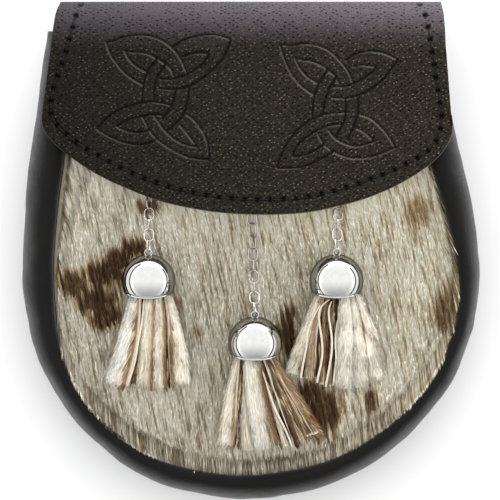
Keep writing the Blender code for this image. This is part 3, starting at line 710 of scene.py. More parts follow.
def hair_material(name, brown_dark=(0.034, 0.018, 0.008),
                  brown_light=(0.150, 0.083, 0.038)):
    """Each hair has its own tint; the patches are in the hair's own value."""
    n = Nodes(name)
    tint, spot, along, zone = n.attribute("strand")
    pale = n.ramp(tint, [(0.0, (0.40, 0.300, 0.175)),
                         (0.20, (0.72, 0.625, 0.425)),
                         (0.50, (0.955, 0.895, 0.700)),
                         (1.0, (0.995, 0.980, 0.86))])
    grey = n.ramp(tint, [(0.0, (0.33, 0.265, 0.185)),
                         (0.20, (0.61, 0.540, 0.410)),
                         (0.50, (0.84, 0.780, 0.635)),
                         (1.0, (0.95, 0.910, 0.79))])
    pale = n.mix(zone, pale, grey)
    tan = n.ramp(tint, [(0.0, (0.26, 0.155, 0.070)), (0.5, (0.46, 0.320, 0.165)),
                        (1.0, (0.66, 0.520, 0.310))])
    brown = n.ramp(tint, [(0.0, brown_dark),
                          (0.7, tuple(0.5 * (a + b) for a, b in
                                      zip(brown_dark, brown_light))),
                          (1.0, brown_light)])
    colour = n.mix(n.spread(spot, 0.05, 0.50, 0.0, 1.0), pale, tan)
    colour = n.mix(n.spread(spot, 0.50, 0.95, 0.0, 1.0), colour, brown)
    shade = n.ramp(along, [(0.0, 0.78), (0.45, 0.98), (1.0, 1.0)])
    colour = n.mix(1.0, colour, shade, "MULTIPLY")
    streak = n.noise(n.coords((1.0, 0.12, 1.0)), 1.1, 3.0)
    colour = n.mix(n.spread(streak, 0.35, 0.65, 0.0, 0.30), colour,
                   n.mix(1.0, colour, (0.62, 0.58, 0.52), "MULTIPLY"))
    return n.finish(colour, 0.45, None, Specular_IOR_Level=0.18)


def tassel_hair_material():
    """Tone of the strip runs from white through cream and tan to brown."""
    n = Nodes("tassel_hair")
    tint, tone, along, _ = n.attribute("strand")
    colour = n.ramp(tone, [(0.0, (0.995, 0.985, 0.945)),
                           (0.25, (0.965, 0.895, 0.715)),
                           (0.5, (0.47, 0.295, 0.145)),
                           (0.75, (0.12, 0.064, 0.031)),
                           (1.0, (0.014, 0.010, 0.008))])
    colour = n.mix(1.0, colour,
                   n.ramp(tint, [(0.0, (0.56, 0.46, 0.33)), (0.20, (0.90, 0.86, 0.78)),
                                 (0.50, (1.0, 1.0, 1.0))]), "MULTIPLY")
    colour = n.mix(1.0, colour, n.ramp(along, [(0.0, 0.92), (0.5, 1.0), (1.0, 1.0)]),
                   "MULTIPLY")
    streak = n.noise(n.coords((1.0, 0.10, 1.0)), 0.9, 3.0)
    colour = n.mix(n.spread(streak, 0.42, 0.65, 0.0, 0.14), colour,
                   n.mix(1.0, colour, (0.60, 0.52, 0.42), "MULTIPLY"))
    return n.finish(colour, 0.42, None, Specular_IOR_Level=0.20)


def strip_material():
    """Skin side and cut edge of the strips."""
    n = Nodes("tassel_strips")
    tint, tone, edge, _ = n.attribute("strand")
    under = n.ramp(tone, [(0.0, (0.88, 0.870, 0.83)), (0.25, (0.84, 0.785, 0.645)),
                          (0.5, (0.32, 0.190, 0.095)), (0.75, (0.070, 0.038, 0.020)),
                          (1.0, (0.010, 0.008, 0.006))])
    across, along, chance, _ = n.attribute("lay")
    join = n.add("ShaderNodeCombineXYZ")
    n.link(across, join.inputs[0])
    n.link(n.math("MULTIPLY", along, 0.10), join.inputs[1])
    n.link(chance, join.inputs[2])
    lines = n.noise(join.outputs["Vector"], 0.42, 3.0, 0.6)
    wide = n.noise(join.outputs["Vector"], 1.30, 2.0)
    under = n.mix(n.spread(lines, 0.36, 0.60, 0.85, 0.0), under,
                  n.mix(1.0, under, (0.58, 0.46, 0.32), "MULTIPLY"))
    under = n.mix(n.math("MULTIPLY", n.spread(wide, 0.52, 0.62, 0.0, 0.85),
                         n.spread(tone, 0.56, 0.68, 0.0, 1.0)),
                  under, (0.60, 0.47, 0.27))
    cut = n.mix(n.noise(n.coords(), 0.9, 3.0), (0.90, 0.86, 0.76), (0.70, 0.62, 0.48))
    colour = n.mix(edge, under, cut)
    normal = n.bump(lines, 0.22, 0.8)
    return n.finish(colour, 0.55, normal, Specular_IOR_Level=0.2)


def hide_material():
    n = Nodes("hide_under_hair")
    _, spot, _, _ = n.attribute("strand")
    base = n.mix(n.noise(n.coords(), 2.4, 4.0), (0.50, 0.430, 0.300),
                 (0.66, 0.590, 0.440))
    base = n.mix(spot, base, (0.055, 0.034, 0.018))
    normal = n.bump(n.noise(n.coords(), 0.7, 4.0), 0.15, 0.7)
    return n.finish(base, 0.75, normal, Specular_IOR_Level=0.2)


def metal(name, colour, low, high, scratch_mm=0.5, bump_mm=0.004):
    n = Nodes(name)
    place = n.coords()
    cloud = n.noise(place, 2.2, 3.0)
    fine = n.noise(place, scratch_mm, 4.0, 0.6)
    base = n.mix(n.spread(cloud, 0.35, 0.75, 0.0, 0.5), colour,
                 tuple(0.86 * v for v in colour))
    rough = n.spread(fine, 0.3, 0.7, low, high)
    normal = n.bump(fine, bump_mm, 0.3)
    return n.finish(base, rough, normal, Metallic=1.0)


def thread_material():
    n = Nodes("waxed_thread")
    place = n.coords()
    twist = n.noise(place, 0.35, 3.0)
    base = n.mix(twist, (0.0035, 0.003, 0.003), (0.014, 0.012, 0.010))
    normal = n.bump(twist, 0.05, 0.8)
    return n.finish(base, 0.55, normal, Specular_IOR_Level=0.12)


# ------------------------------------------------------------ shared shapes
def gusset_path(count):
    path = resample(catmull(GUSSET_ROWS, 8), count)
    path[:, 3] = np.minimum(path[:, 3], GUSSET_FRONT)
    path[:, 4] = np.maximum(path[:, 4], 0.0)
    return path


PATH = gusset_path(300)
PATH_IN = inward_normals(PATH)


def arc(count, start, end):
    return np.radians(np.linspace(start, end, count))


def gusset_section(roll, front, back):
    """Skin of the gusset across its path: distance in from the outermost
    line, height, from the edge at the front hide round to the back panel."""
    crest = 0.70 * roll
    turn = roll - crest
    flat = 0.45 * roll
    mid = 0.5 * (front + back)
    half = 0.5 * (front - back)
    lip = min(LIP_FRONT_Z, front - turn - 1.5)
    back_lip = max(LIP_BACK_Z, back + turn + 1.5)
    pts = [(roll, z) for z in np.linspace(lip, front - turn, 5)[:-1]]
    pts += [(crest + turn * math.cos(a), front - turn + turn * math.sin(a))
            for a in arc(9, 0, 90)]
    pts += [(crest - crest * math.sin(a), mid + half * math.cos(a))
            for a in arc(17, 0, 90)[1:]]
    pts += [(flat - flat * math.sin(a), mid - half * math.cos(a))
            for a in arc(14, 90, 0)[1:]]
    pts += [(u, back) for u in np.linspace(flat, crest, 4)[1:]]
    pts += [(crest + turn * math.sin(a), back + turn - turn * math.cos(a))
            for a in arc(8, 0, 90)[1:]]
    pts += [(roll, z) for z in np.linspace(back + turn, back_lip, 4)[1:]]
    return np.array(pts)


def panel_outline(clearance):
    reach = (PATH[:, 2] + clearance)[:, None]
    points = PATH[:, :2] + PATH_IN * reach
    inside = points[points[:, 1] < PANEL_TOP_Y - 3.0]
    left, right = inside[0], inside[-1]
    return np.concatenate([[(left[0] + 0.6, PANEL_TOP_Y)], inside,
                           [(right[0] - 0.6, PANEL_TOP_Y)]])


def flap_top_z(x, y):
    crown = 1.6 - 3.8 * (np.asarray(x) / 80.0) ** 2
    return FOLD_Z + FOLD_R + smoothstep((FOLD_Y - np.asarray(y)) / 45.0) * crown


def front_height(x, y):
    dx, dy = np.asarray(x) - FRONT_CENTRE[0], np.asarray(y) - FRONT_CENTRE[1]
    reach = np.where(dy > 0, 82.0, 84.0)
    share = np.minimum(np.hypot(dx / 78.0, dy / reach), 1.0)
    return np.interp(share, [r[0] for r in FRONT_DOME], [r[1] for r in FRONT_DOME])


def gusset_top(points):
    """Height of the gusset's rolled rim over each point, and how far the
    point is past the seam of the front hide (negative on the hide)."""
    line = PATH[::2]
    dist, where, along = segment_distance(points, line[:, :2])
    nxt = np.minimum(where + 1, len(line) - 1)
    roll = line[where, 2] * (1 - along) + line[nxt, 2] * along
    front = line[where, 3] * (1 - along) + line[nxt, 3] * along
    crest = 0.70 * roll
    turn = roll - crest
    mid, half = 0.5 * front, 0.5 * front
    over = front - turn + np.sqrt(np.maximum(turn ** 2 - (dist - crest) ** 2, 0.0))
    side = mid + half * np.sqrt(np.maximum(
        1.0 - ((crest - dist) / crest) ** 2, 0.0))
    height = np.where(dist >= roll, -1e3, np.where(dist >= crest, over, side))
    return height, roll - dist


# ------------------------------------------------------------------- pieces
def build_gusset(mat):
    path = gusset_path(340)
    normal = inward_normals(path)
    station = np.arange(len(path))
    rows = []
    for i, (x, y, roll, front, back) in enumerate(path):
        section = gusset_section(roll, front, back)
        u, z = section[:, 0].copy(), section[:, 1].copy()
        k = np.linspace(0.0, 1.0, len(u))
        run = i / len(path) * 560.0
        wave = value_noise(np.full_like(k, run / 17.0), k * 5.0, 3) - 0.5
        small = value_noise(np.full_like(k, run / 5.0), k * 9.0, 7) - 0.5
        bulge = np.sin(np.pi * np.clip(k, 0, 1))
        push = (0.9 * wave + 0.35 * small) * bulge
        du, dz = np.gradient(u), np.gradient(z)
        size = np.maximum(np.hypot(du, dz), 1e-6)
        nu, nz = -dz / size, du / size
        outward = np.where(k < 0.5, 1.0, 1.0)
        u = u + nu * push * outward
        z = np.maximum(z + nz * push * outward, 0.0)
        rows.append(np.stack([x + normal[i, 0] * u, y + normal[i, 1] * u, z], 1))
    verts = np.concatenate(rows)
    mesh = new_mesh("gusset_leather", verts, [grid_faces(len(path), len(rows[0]))])
    obj = add_piece("gusset_leather", mesh, mat, "gusset_leather", "gusset")
    mod = obj.modifiers.new("Solidify", "SOLIDIFY")
    mod.thickness = LEATHER * MM
    mod.offset = -1.0
    mod.use_even_offset = True
    mod.use_rim = True
    apply_modifiers(obj)
    obj.data.shade_smooth()
    obj.data.set_sharp_from_angle(angle=math.radians(55))
    return obj


def build_back_panel(mat, thread):
    ring = panel_outline(GAP)
    curve = bpy.data.curves.new("back_leather", "CURVE")
    curve.dimensions = "2D"
    curve.fill_mode = "BOTH"
    curve.extrude = (0.5 * LEATHER - 0.4) * MM
    curve.bevel_depth = 0.4 * MM
    curve.bevel_resolution = 2
    curve.offset = -0.4 * MM
    spline = curve.splines.new("POLY")
    points = resample(ring, 220)
    spline.points.add(len(points) - 1)
    for point, (x, y) in zip(spline.points, points):
        point.co = (x * MM, y * MM, 0.0, 1.0)
    spline.use_cyclic_u = True
    temp = bpy.data.objects.new("back_leather_curve", curve)
    scene.collection.objects.link(temp)
    bpy.context.view_layer.update()
    graph = bpy.context.evaluated_depsgraph_get()
    mesh = bpy.data.meshes.new_from_object(temp.evaluated_get(graph))
    bpy.data.objects.remove(temp)
    mesh.transform(Matrix.Translation((0.0, 0.0, (BACK_Z + 0.5 * LEATHER) * MM)))
    mesh.name = "back_panel_leather"
    obj = add_piece("back_panel_leather", mesh, mat, "back_leather", "back_panel")
    obj.data.shade_smooth()
    obj.data.set_sharp_from_angle(angle=math.radians(40))
    inner = panel_outline(GAP + 4.0)
    inner = inner[inner[:, 1] < PANEL_TOP_Y - 6.0]
    places = np.column_stack([inner, np.full(len(inner), BACK_Z - 0.12)])
    stitches("back_panel_stitches", places, 4.4, 0.35, 0.68, thread,
             "back_leather", flip=True)
    return obj


def stitches(name, places, pitch, radius, share, mat, slot, flip=False,
             parent=None, normals=None):
    """Short rounded stitches along a line of points, joined in one mesh."""
    total = np.concatenate([[0.0], np.cumsum(
        np.linalg.norm(np.diff(places, axis=0), axis=1))])
    count = max(int(round(total[-1] / pitch)), 1)
    verts, faces = [], []
    rings, sides = 7, 8
    for i in range(count):
        a = (i + 0.5 - 0.5 * share) * total[-1] / count
        b = (i + 0.5 + 0.5 * share) * total[-1] / count
        start = np.array([np.interp(a, total, places[:, c]) for c in range(3)])
        end = np.array([np.interp(b, total, places[:, c]) for c in range(3)])
        axis = end - start
        size = np.linalg.norm(axis)
        axis /= size
        if normals is None:
            up = np.array([0.0, 0.0, -1.0 if flip else 1.0])
        else:
            up = np.array([np.interp(0.5 * (a + b), total, normals[:, c])
                           for c in range(3)])
        side = np.cross(axis, up)
        side /= np.linalg.norm(side)
        up = np.cross(side, axis)
        base = len(verts)
        for r in range(rings):
            t = r / (rings - 1)
            swell = math.sqrt(max(1.0 - (2 * t - 1) ** 4, 0.0)) * radius + 0.02
            centre = start + axis * size * t + up * (0.32 * radius * math.sin(math.pi * t))
            for s in range(sides):
                angle = 2 * math.pi * s / sides
                verts.append(centre + (side * math.cos(angle)
                                       + up * math.sin(angle)) * swell)
        for r in range(rings - 1):
            for s in range(sides):
                n = (s + 1) % sides
                faces.append((base + r * sides + s, base + r * sides + n,
                              base + (r + 1) * sides + n, base + (r + 1) * sides + s))
        for s in range(1, sides - 1, 2):
            faces.append((base, base + s + 1, base + s, base))
        ends = [tuple(base + s for s in reversed(range(sides))),
                tuple(base + (rings - 1) * sides + s for s in range(sides))]
        faces = [f for f in faces if len(set(f)) == 4]
        faces.extend(ends)
    quads = np.array([f for f in faces if len(f) == 4])
    caps = np.array([f for f in faces if len(f) == sides])
    mesh = new_mesh(name, np.array(verts), [quads, caps])
    return add_piece(name, mesh, mat, slot)


def build_front_skin(mat):
    """Bare hide under the hair."""
    outline = panel_outline(GAP)
    left, right = outline[0], outline[-1]
    top = np.linspace(right, left, 60)[1:-1]
    ring = np.concatenate([outline, top])
    centre = np.array(FRONT_CENTRE)
    shares = np.concatenate([[0.02], np.linspace(0.08, 1.0, 26)])
    upper = []
    for share in shares:
        p = centre + (ring - centre) * share
        upper.append(np.column_stack([p, front_height(p[:, 0], p[:, 1]) - HAIR_LIE]))
    low = upper[-1].copy()
    low[:, 2] -= LEATHER
    lower = []
    for share in shares[::-1][1:]:
        p = centre + (ring - centre) * share
        lower.append(np.column_stack([p, front_height(p[:, 0], p[:, 1])
                                      - HAIR_LIE - LEATHER]))
    rows = upper + [low] + lower
    n = len(ring)
    verts = np.concatenate(rows)
    faces = grid_faces(len(rows), n, closed=True)
    first = np.arange(n)
    last = (len(rows) - 1) * n + np.arange(n)
    verts = np.concatenate([verts, [[centre[0], centre[1], rows[0][0, 2]],
                                    [centre[0], centre[1], rows[-1][0, 2]]]])
    tri_a = np.stack([np.full(n, len(verts) - 2), first, np.roll(first, -1)], 1)
    tri_b = np.stack([np.full(n, len(verts) - 1), np.roll(last, -1), last], 1)
    mesh = new_mesh("front_hide", verts, [faces, np.concatenate([tri_a, tri_b])])
    marks = np.zeros((len(verts), 4))
    marks[:, 1] = spot_value(verts[:, 0], verts[:, 1])
    marks[:, 3] = 1.0
    point_colours(mesh, "strand", marks)
    return add_piece("front_hide", mesh, mat, "hair_on_hide", "fur_panel")


def hair_mesh(name, roots, mids, tips, widths, ups, values):
    """Slender kites of four triangles, deep and thin at the root, widest
    near the tip, each with its own cell in the bake map."""
    count = len(roots)
    axis = tips - roots
    side = np.cross(axis, ups)
    side /= np.maximum(np.linalg.norm(side, axis=1), 1e-9)[:, None]
    half = side * (0.5 * widths)[:, None]
    verts = np.stack([roots, mids - half, mids + half, tips], 1).reshape(-1, 3)
    base = (np.arange(count) * 4)[:, None, None]
    # 0 root, 1 left, 2 right, 3 tip
    pattern = np.array([(0, 2, 1), (2, 3, 1), (0, 1, 3), (0, 3, 2)])
    faces = (base + pattern[None]).reshape(-1, 3)
    mesh = new_mesh(name, verts, [faces], smooth=False)
    colours = np.repeat(values[:, None, :], 4, axis=1)
    colours[:, :, 2] = np.array([0.0, 0.62, 0.62, 1.0])[None, :]
    point_colours(mesh, "strand", colours.reshape(-1, 4))
    cols = int(math.ceil(math.sqrt(count * 1.0)))
    cell = 1.0 / cols
    corner = np.stack([np.arange(count) % cols, np.arange(count) // cols], 1) * cell
    places = [[(0.04, 0.04), (0.60, 0.04), (0.04, 0.46)],
              [(0.60, 0.14), (0.60, 0.94), (0.04, 0.56)],
              [(0.68, 0.04), (0.96, 0.04), (0.68, 0.46)],
              [(0.68, 0.54), (0.96, 0.54), (0.68, 0.96)]]
    shape = [spot for face in places for spot in face]
    uv = corner[:, None, :] + np.array(shape)[None] * cell
    layer = mesh.uv_layers.new(name="OFBake")
    layer.data.foreach_set("uv", np.ascontiguousarray(uv, np.float32).ravel())
    return mesh


def spot_value(x, y):
    """How dark the hide is at each place, streaky along the hair."""
    streak = value_noise(x / 0.9 + 0.25 * y, y / 7.5, 11) - 0.5
    cloud = value_noise(x / 4.0, y / 5.5, 23) - 0.5
    best = np.zeros_like(x)
    for sx, sy, rx, ry, strength in SPOTS:
        d = np.hypot((x - sx) / rx, (y - sy) / ry)
        edge = (1.18 - d) + 0.62 * streak + 0.36 * cloud
        best = np.maximum(best, strength * smoothstep(edge / 0.70))
    return best


def build_fur(mat):
    rng = np.random.default_rng(71)
    ring = panel_outline(GAP + 0.8)
    pieces = 3
    want = 40000 * pieces
    roots = np.empty((0, 2))
    while len(roots) < want:
        p = np.column_stack([rng.uniform(-86, 86, want), rng.uniform(-96, 62, want)])
        p = p[inside_polygon(p, ring)]
        cover = np.interp(p[:, 0], [a for a, _ in FLAP_EDGE[1:-1]],
                          [b for _, b in FLAP_EDGE[1:-1]])
        under = p[:, 1] - cover
        keep = rng.random(len(p)) < np.where(under < 12.0, 1.0, 0.12)
        roots = np.concatenate([roots, p[keep]])
    roots = roots[:want]
    x, y = roots[:, 0], roots[:, 1]
    lean = np.interp(y, [-95, -60, -20, 20, 60], [2.0, 5.0, 11.0, 17.0, 20.0])
    lean = lean + 13.0 * (value_noise(x / 21.0, y / 30.0, 5) - 0.5)
    lean = lean + 6.0 * (value_noise(x / 3.6, y / 13.0, 6) - 0.5)
    lean = lean + rng.normal(0.0, 3.0, want)
    angle = np.radians(lean)
    way = np.stack([np.sin(angle), -np.cos(angle)], 1)
    length = rng.uniform(7.5, 12.5, want)
    tips = roots + way * length[:, None]
    # tips gather into small uneven tufts
    warped = tips + np.stack([
        3.4 * (value_noise(tips[:, 0] / 6.0, tips[:, 1] / 8.0, 41) - 0.5),
        15.0 * (value_noise(tips[:, 0] / 2.3, tips[:, 1] / 40.0, 43) - 0.5)], 1)
    tuft_size = np.array([1.7, 5.2])
    centre = (np.floor(warped / tuft_size) + 0.5) * tuft_size
    pull = rng.uniform(0.0, 0.34, want)[:, None] * np.array([1.0, 0.25])
    tips = tips + (centre - warped) * pull
    rim, past = gusset_top(tips)
    deepest = np.interp(y, [-75.0, -45.0], [1.0, 0.55])
    reach = -0.55 + rng.random(want) ** 1.5 * deepest
    over = np.maximum(past - reach, 0.0)
    shrink = np.clip(1.0 - 1.05 * over / np.maximum(length, 1e-6), 0.10, 1.0)
    tips = roots + (tips - roots) * shrink[:, None]
    rim, past = gusset_top(tips)
    mids = roots + (tips - roots) * rng.uniform(0.38, 0.55, want)[:, None]
    mids = mids + np.stack([way[:, 1], -way[:, 0]], 1) * rng.normal(0, 0.35, want)[:, None]
    skin = front_height(x, y) - HAIR_LIE + rng.uniform(0.0, 0.5, want)
    look0 = roots + (tips - roots) * 0.62
    wave = value_noise(x / 5.0, y / 8.0, 9)
    tuft_lift = value_noise(look0[:, 0] / 0.8, look0[:, 1] / 7.0, 87)
    tip_z = (front_height(tips[:, 0], tips[:, 1]) + rng.uniform(-0.04, 0.05, want)
             + 0.09 * wave + 0.10 * tuft_lift)
    tip_z = np.maximum(tip_z, rim + rng.uniform(0.05, 0.3, want))
    mid_z = front_height(mids[:, 0], mids[:, 1]) + rng.uniform(-0.7, 0.35, want) + 0.5 * wave
    mid_rim, _ = gusset_top(mids)
    mid_z = np.maximum(mid_z, mid_rim + 0.2)
    roots3 = np.column_stack([roots, skin])
    ridge = rng.uniform(0.02, 0.05, want)
    widest = rng.uniform(0.58, 0.78, want)[:, None]
    straight = roots3 + (np.column_stack([tips, tip_z]) - roots3) * widest
    mids3 = straight + np.stack([way[:, 1] * 0, way[:, 0] * 0, ridge], 1)
    mids3[:, :2] += np.stack([-way[:, 1], way[:, 0]], 1) * rng.normal(0, 0.05, want)[:, None]
    lying = front_height(mids3[:, 0], mids3[:, 1])
    mid_rim, _ = gusset_top(mids3[:, :2])
    mids3[:, 2] = np.maximum(mids3[:, 2], np.maximum(
        0.2 * mids3[:, 2] + 0.8 * (lying + np.minimum(
            tip_z - front_height(tips[:, 0], tips[:, 1]), 0.32) - 0.06),
        mid_rim + 0.10))
    tips3 = np.column_stack([tips, tip_z])
    widths = rng.uniform(0.26, 0.44, want)
    look = roots + (tips - roots) * 0.62
    spot = spot_value(look[:, 0], look[:, 1])
    spot = np.clip(spot + (rng.random(want) - 0.5) * 0.22 * (spot > 0.04), 0.0, 1.0)
    tint = rng.beta(1.6, 1.3, want)
    run = look[:, 0] + 0.22 * look[:, 1]
    strip = value_noise(run / 0.50, look[:, 1] / 7.0, 77)
    broad = value_noise(run / 2.2, look[:, 1] / 13.0, 78)
    # the tint holds painted shade: hair ending within about 3 mm of the gusset seam is painted darker
    tint = np.clip(0.5 + 0.50 * (tint - 0.5) + 1.35 * (strip - 0.5)
                   + 0.34 * (broad - 0.5)
                   - 0.30 * smoothstep((past + 3.2) / 3.2)
                   + 0.20 * (value_noise(x / 9.0, y / 14.0, 31) - 0.5), 0.0, 1.0)
    zone = smoothstep((25.0 - look[:, 0] - 0.6 * look[:, 1]) / 90.0)
    zone = np.clip(zone + 0.5 * (value_noise(x / 14.0, y / 24.0, 51) - 0.5), 0.0, 1.0)
    values = np.stack([tint, spot, np.zeros(want), zone], 1)
    ups = np.tile(np.array([0.0, 0.0, 1.0]), (want, 1))
    # laid out from side to side in the bake map
    order = np.lexsort((roots[:, 0], np.round(roots[:, 1] / 3.0)))
    for i, part in enumerate(np.array_split(order, pieces)):
        name = "front_hair_%02d" % (i + 1)
        mesh = hair_mesh(name, roots3[part], mids3[part], tips3[part],
                         widths[part], ups[part], values[part])
        add_piece(name, mesh, mat, "hair_on_hide")


# ---------------------------------------------------------------- the flap
def draw_point(across, down):
    return ((across - 251.0) * DRAW_MM, (250.5 - down) * DRAW_MM)


def flap_lattice(cols, fold_angles, front_rows):
    """Outer skin of the flap, row by row from its sewn back edge over the
    fold to its free edge, in points across and down."""
    edge = resample(catmull(FLAP_EDGE, 12), cols + 1)
    across = np.linspace(0.0, 1.0, cols + 1)
    angles = [r[0] for r in FOLD_SIDES]
    lefts = [r[1] for r in FOLD_SIDES]
    rights = [r[2] for r in FOLD_SIDES]
    rows = []
    for y in np.linspace(FLAP_BACK_Y, FOLD_Y, 7)[:-1]:
        rows.append(np.column_stack([
            lefts[0] + (rights[0] - lefts[0]) * across,
            np.full(cols + 1, y), np.full(cols + 1, FOLD_Z - FOLD_R)]))
    for degrees in fold_angles:
        left = np.interp(degrees, angles, lefts)
        right = np.interp(degrees, angles, rights)
        a = math.radians(degrees)
        rows.append(np.column_stack([
            left + (right - left) * across,
            np.full(cols + 1, FOLD_Y + FOLD_R * math.cos(a)),
            np.full(cols + 1, FOLD_Z + FOLD_R * math.sin(a))]))
    top = rows[-1][:, :2]
    for step in range(1, front_rows + 1):
        t = step / front_rows
        p = top + (edge - top) * t
        rows.append(np.column_stack([p, flap_top_z(p[:, 0], p[:, 1])]))
    return np.stack(rows)


def lattice_normals(grid):
    du = np.gradient(grid, axis=1)
    dv = np.gradient(grid, axis=0)
    n = np.cross(dv, du)
    n /= np.maximum(np.linalg.norm(n, axis=2), 1e-9)[..., None]
    middle = n[len(n) - 20, n.shape[1] // 2]
    return n if middle[2] > 0 else -n


def stitch_holes():
    """Holes of the flap's stitching, evenly spaced, on the drawing."""
    line = np.array([draw_point(*p) for p in catmull(STITCH_LINE, 6)])
    count = int(round(path_length(line) / STITCH_PITCH))
    return resample(line, count + 1), line


def build_flap(mat, thread):
    fine_cols, front_rows = 430, 140
    fold_angles = np.concatenate([np.linspace(-90.0, 20.0, 15)[:-1],
                                  np.linspace(20.0, 90.0, 48)])
    grid = flap_lattice(fine_cols, fold_angles, front_rows)
    normals = lattice_normals(grid)
    flat = grid.reshape(-1, 3)
    shift = np.zeros(len(flat))
    groove_shade = np.zeros(len(flat))
    hole_shade = np.zeros(len(flat))
    front = (flat[:, 2] > FOLD_Z + 4.0)
    xy = flat[:, :2]
    for (ox, oy, scale), lines in KNOTS.values():
        curves = []
        for line in lines:
            pts = np.array(catmull(line, 8))
            pts = pts / scale + np.array([ox, oy])
            curves.append(np.array([draw_point(*p) for p in pts]))
        every = np.concatenate(curves)
        low, high = every.min(0) - 2.0, every.max(0) + 2.0
        near = np.where(front & (xy > low).all(1) & (xy < high).all(1))[0]
        best = np.full(len(near), 1e3)
        for curve in curves:
            c_low, c_high = curve.min(0) - 1.6, curve.max(0) + 1.6
            part = np.where((xy[near] > c_low).all(1) & (xy[near] < c_high).all(1))[0]
            if len(part) == 0:
                continue
            d, _, _ = segment_distance(xy[near[part]], curve)
            best[part] = np.minimum(best[part], d)
        cut = smoothstep(1.0 - best / GROOVE_HALF)
        swell = np.exp(-((best - 1.15) / 0.55) ** 2)
        shift[near] += -GROOVE_DEPTH * cut + 0.10 * swell
        # painted shade along the grooves
        groove_shade[near] = np.maximum(groove_shade[near], smoothstep(1.32 - best / 0.56))
    # walls of the grooves that face up and to the right get a painted highlight
    steps = np.linalg.norm(np.diff(grid, axis=0), axis=2)
    run = -np.concatenate([np.zeros((1, grid.shape[1])), np.cumsum(steps, axis=0)])
    field = shift.reshape(grid.shape[:2])
    down_gap = np.linalg.norm(np.gradient(grid, axis=0), axis=2)
    side_gap = np.linalg.norm(np.gradient(grid, axis=1), axis=2)
    facing = (0.82 * np.gradient(field, axis=0) / np.maximum(down_gap, 1e-6)
              - 0.58 * np.gradient(field, axis=1) / np.maximum(side_gap, 1e-6))
    lit = smoothstep((facing.ravel() - 0.28) / 0.45)
    # the painted shade is taken off the walls that get the painted highlight
    groove_shade = groove_shade * (1.0 - 0.8 * lit)
    holes, line = stitch_holes()
    near = np.where(front)[0]
    trench, _, _ = segment_distance(xy[near], line)
    shift[near] += -0.22 * np.exp(-(trench / 0.75) ** 2)
    tree = xy[near]
    for hx, hy in holes:
        d = np.hypot(tree[:, 0] - hx, tree[:, 1] - hy)
        pick = np.where(d < 2.0)[0]
        shift[near[pick]] += -1.05 * np.exp(-(d[pick] / 0.78) ** 2)
        # painted shade inside the stitch hole
        hole_shade[near[pick]] = np.maximum(hole_shade[near[pick]],
                                      smoothstep(1.95 - d[pick] / 0.84))
    # rounded free edge, and a slow unevenness of the whole hide
    rim_line = np.concatenate([grid[:, 0, :], grid[-1, :, :], grid[::-1, -1, :]])
    outline2 = rim_line[rim_line[:, 2] > FOLD_Z]
    d, _, _ = segment_distance(xy[near], outline2[::3, :2])
    shift[near] += -0.75 * np.clip(1.0 - d / 1.1, 0.0, 1.0) ** 2.2
    ease = smoothstep((d - 1.0) / 6.0)
    slow = (value_noise(xy[near, 0] / 19.0, xy[near, 1] / 15.0, 61) - 0.5) * 0.9
    shift[near] += slow * ease * 0.8
    edge_tone = np.zeros(len(flat))
    low_edge = smoothstep((57.0 - xy[near, 1]) / 10.0)
    edge_tone[near] = smoothstep(1.0 - d / 0.30) * low_edge * 0.7
    upper = flat + normals.reshape(-1, 3) * shift[:, None]

    rows, cols = grid.shape[:2]
    k = 9
    pick_cols = np.arange(0, cols, k)
    if pick_cols[-1] != cols - 1:
        pick_cols = np.append(pick_cols, cols - 1)
    m = 7
    pick_rows = np.arange(0, rows, m)
    if pick_rows[-1] != rows - 1:
        pick_rows = np.append(pick_rows, rows - 1)
    inner_grid = (grid - normals * FLAP_THICK)[np.ix_(pick_rows, pick_cols)]
    inner = inner_grid.reshape(-1, 3)
    base = rows * cols
    verts = np.concatenate([upper, inner])
    outer_faces = grid_faces(rows, cols)[:, ::-1]
    inner_faces = grid_faces(len(pick_rows), len(pick_cols)) + base
    tris = []

    def bridge(outer_ids, inner_ids, marks, forward):
        for j in range(len(marks) - 1):
            a, b = marks[j], marks[j + 1]
            half = (a + b) // 2
            for s in range(a, b):
                third = inner_ids[j] if s < half else inner_ids[j + 1]
                tris.append((outer_ids[s], outer_ids[s + 1], third) if forward
                            else (outer_ids[s + 1], outer_ids[s], third))
            tris.append((outer_ids[half], inner_ids[j + 1], inner_ids[j]) if forward
                        else (outer_ids[half], inner_ids[j], inner_ids[j + 1]))

    nc = len(pick_cols)
    top_outer = np.arange(cols)
    top_inner = base + np.arange(nc)
    bridge(top_outer, top_inner, pick_cols, True)
    bottom_outer = (rows - 1) * cols + np.arange(cols)
    bottom_inner = base + (len(pick_rows) - 1) * nc + np.arange(nc)
    bridge(bottom_outer, bottom_inner, pick_cols, False)
    left_outer = np.arange(rows) * cols
    left_inner = base + np.arange(len(pick_rows)) * nc
    bridge(left_outer, left_inner, pick_rows, False)
    right_outer = np.arange(rows) * cols + cols - 1
    right_inner = left_inner + nc - 1
    bridge(right_outer, right_inner, pick_rows, True)

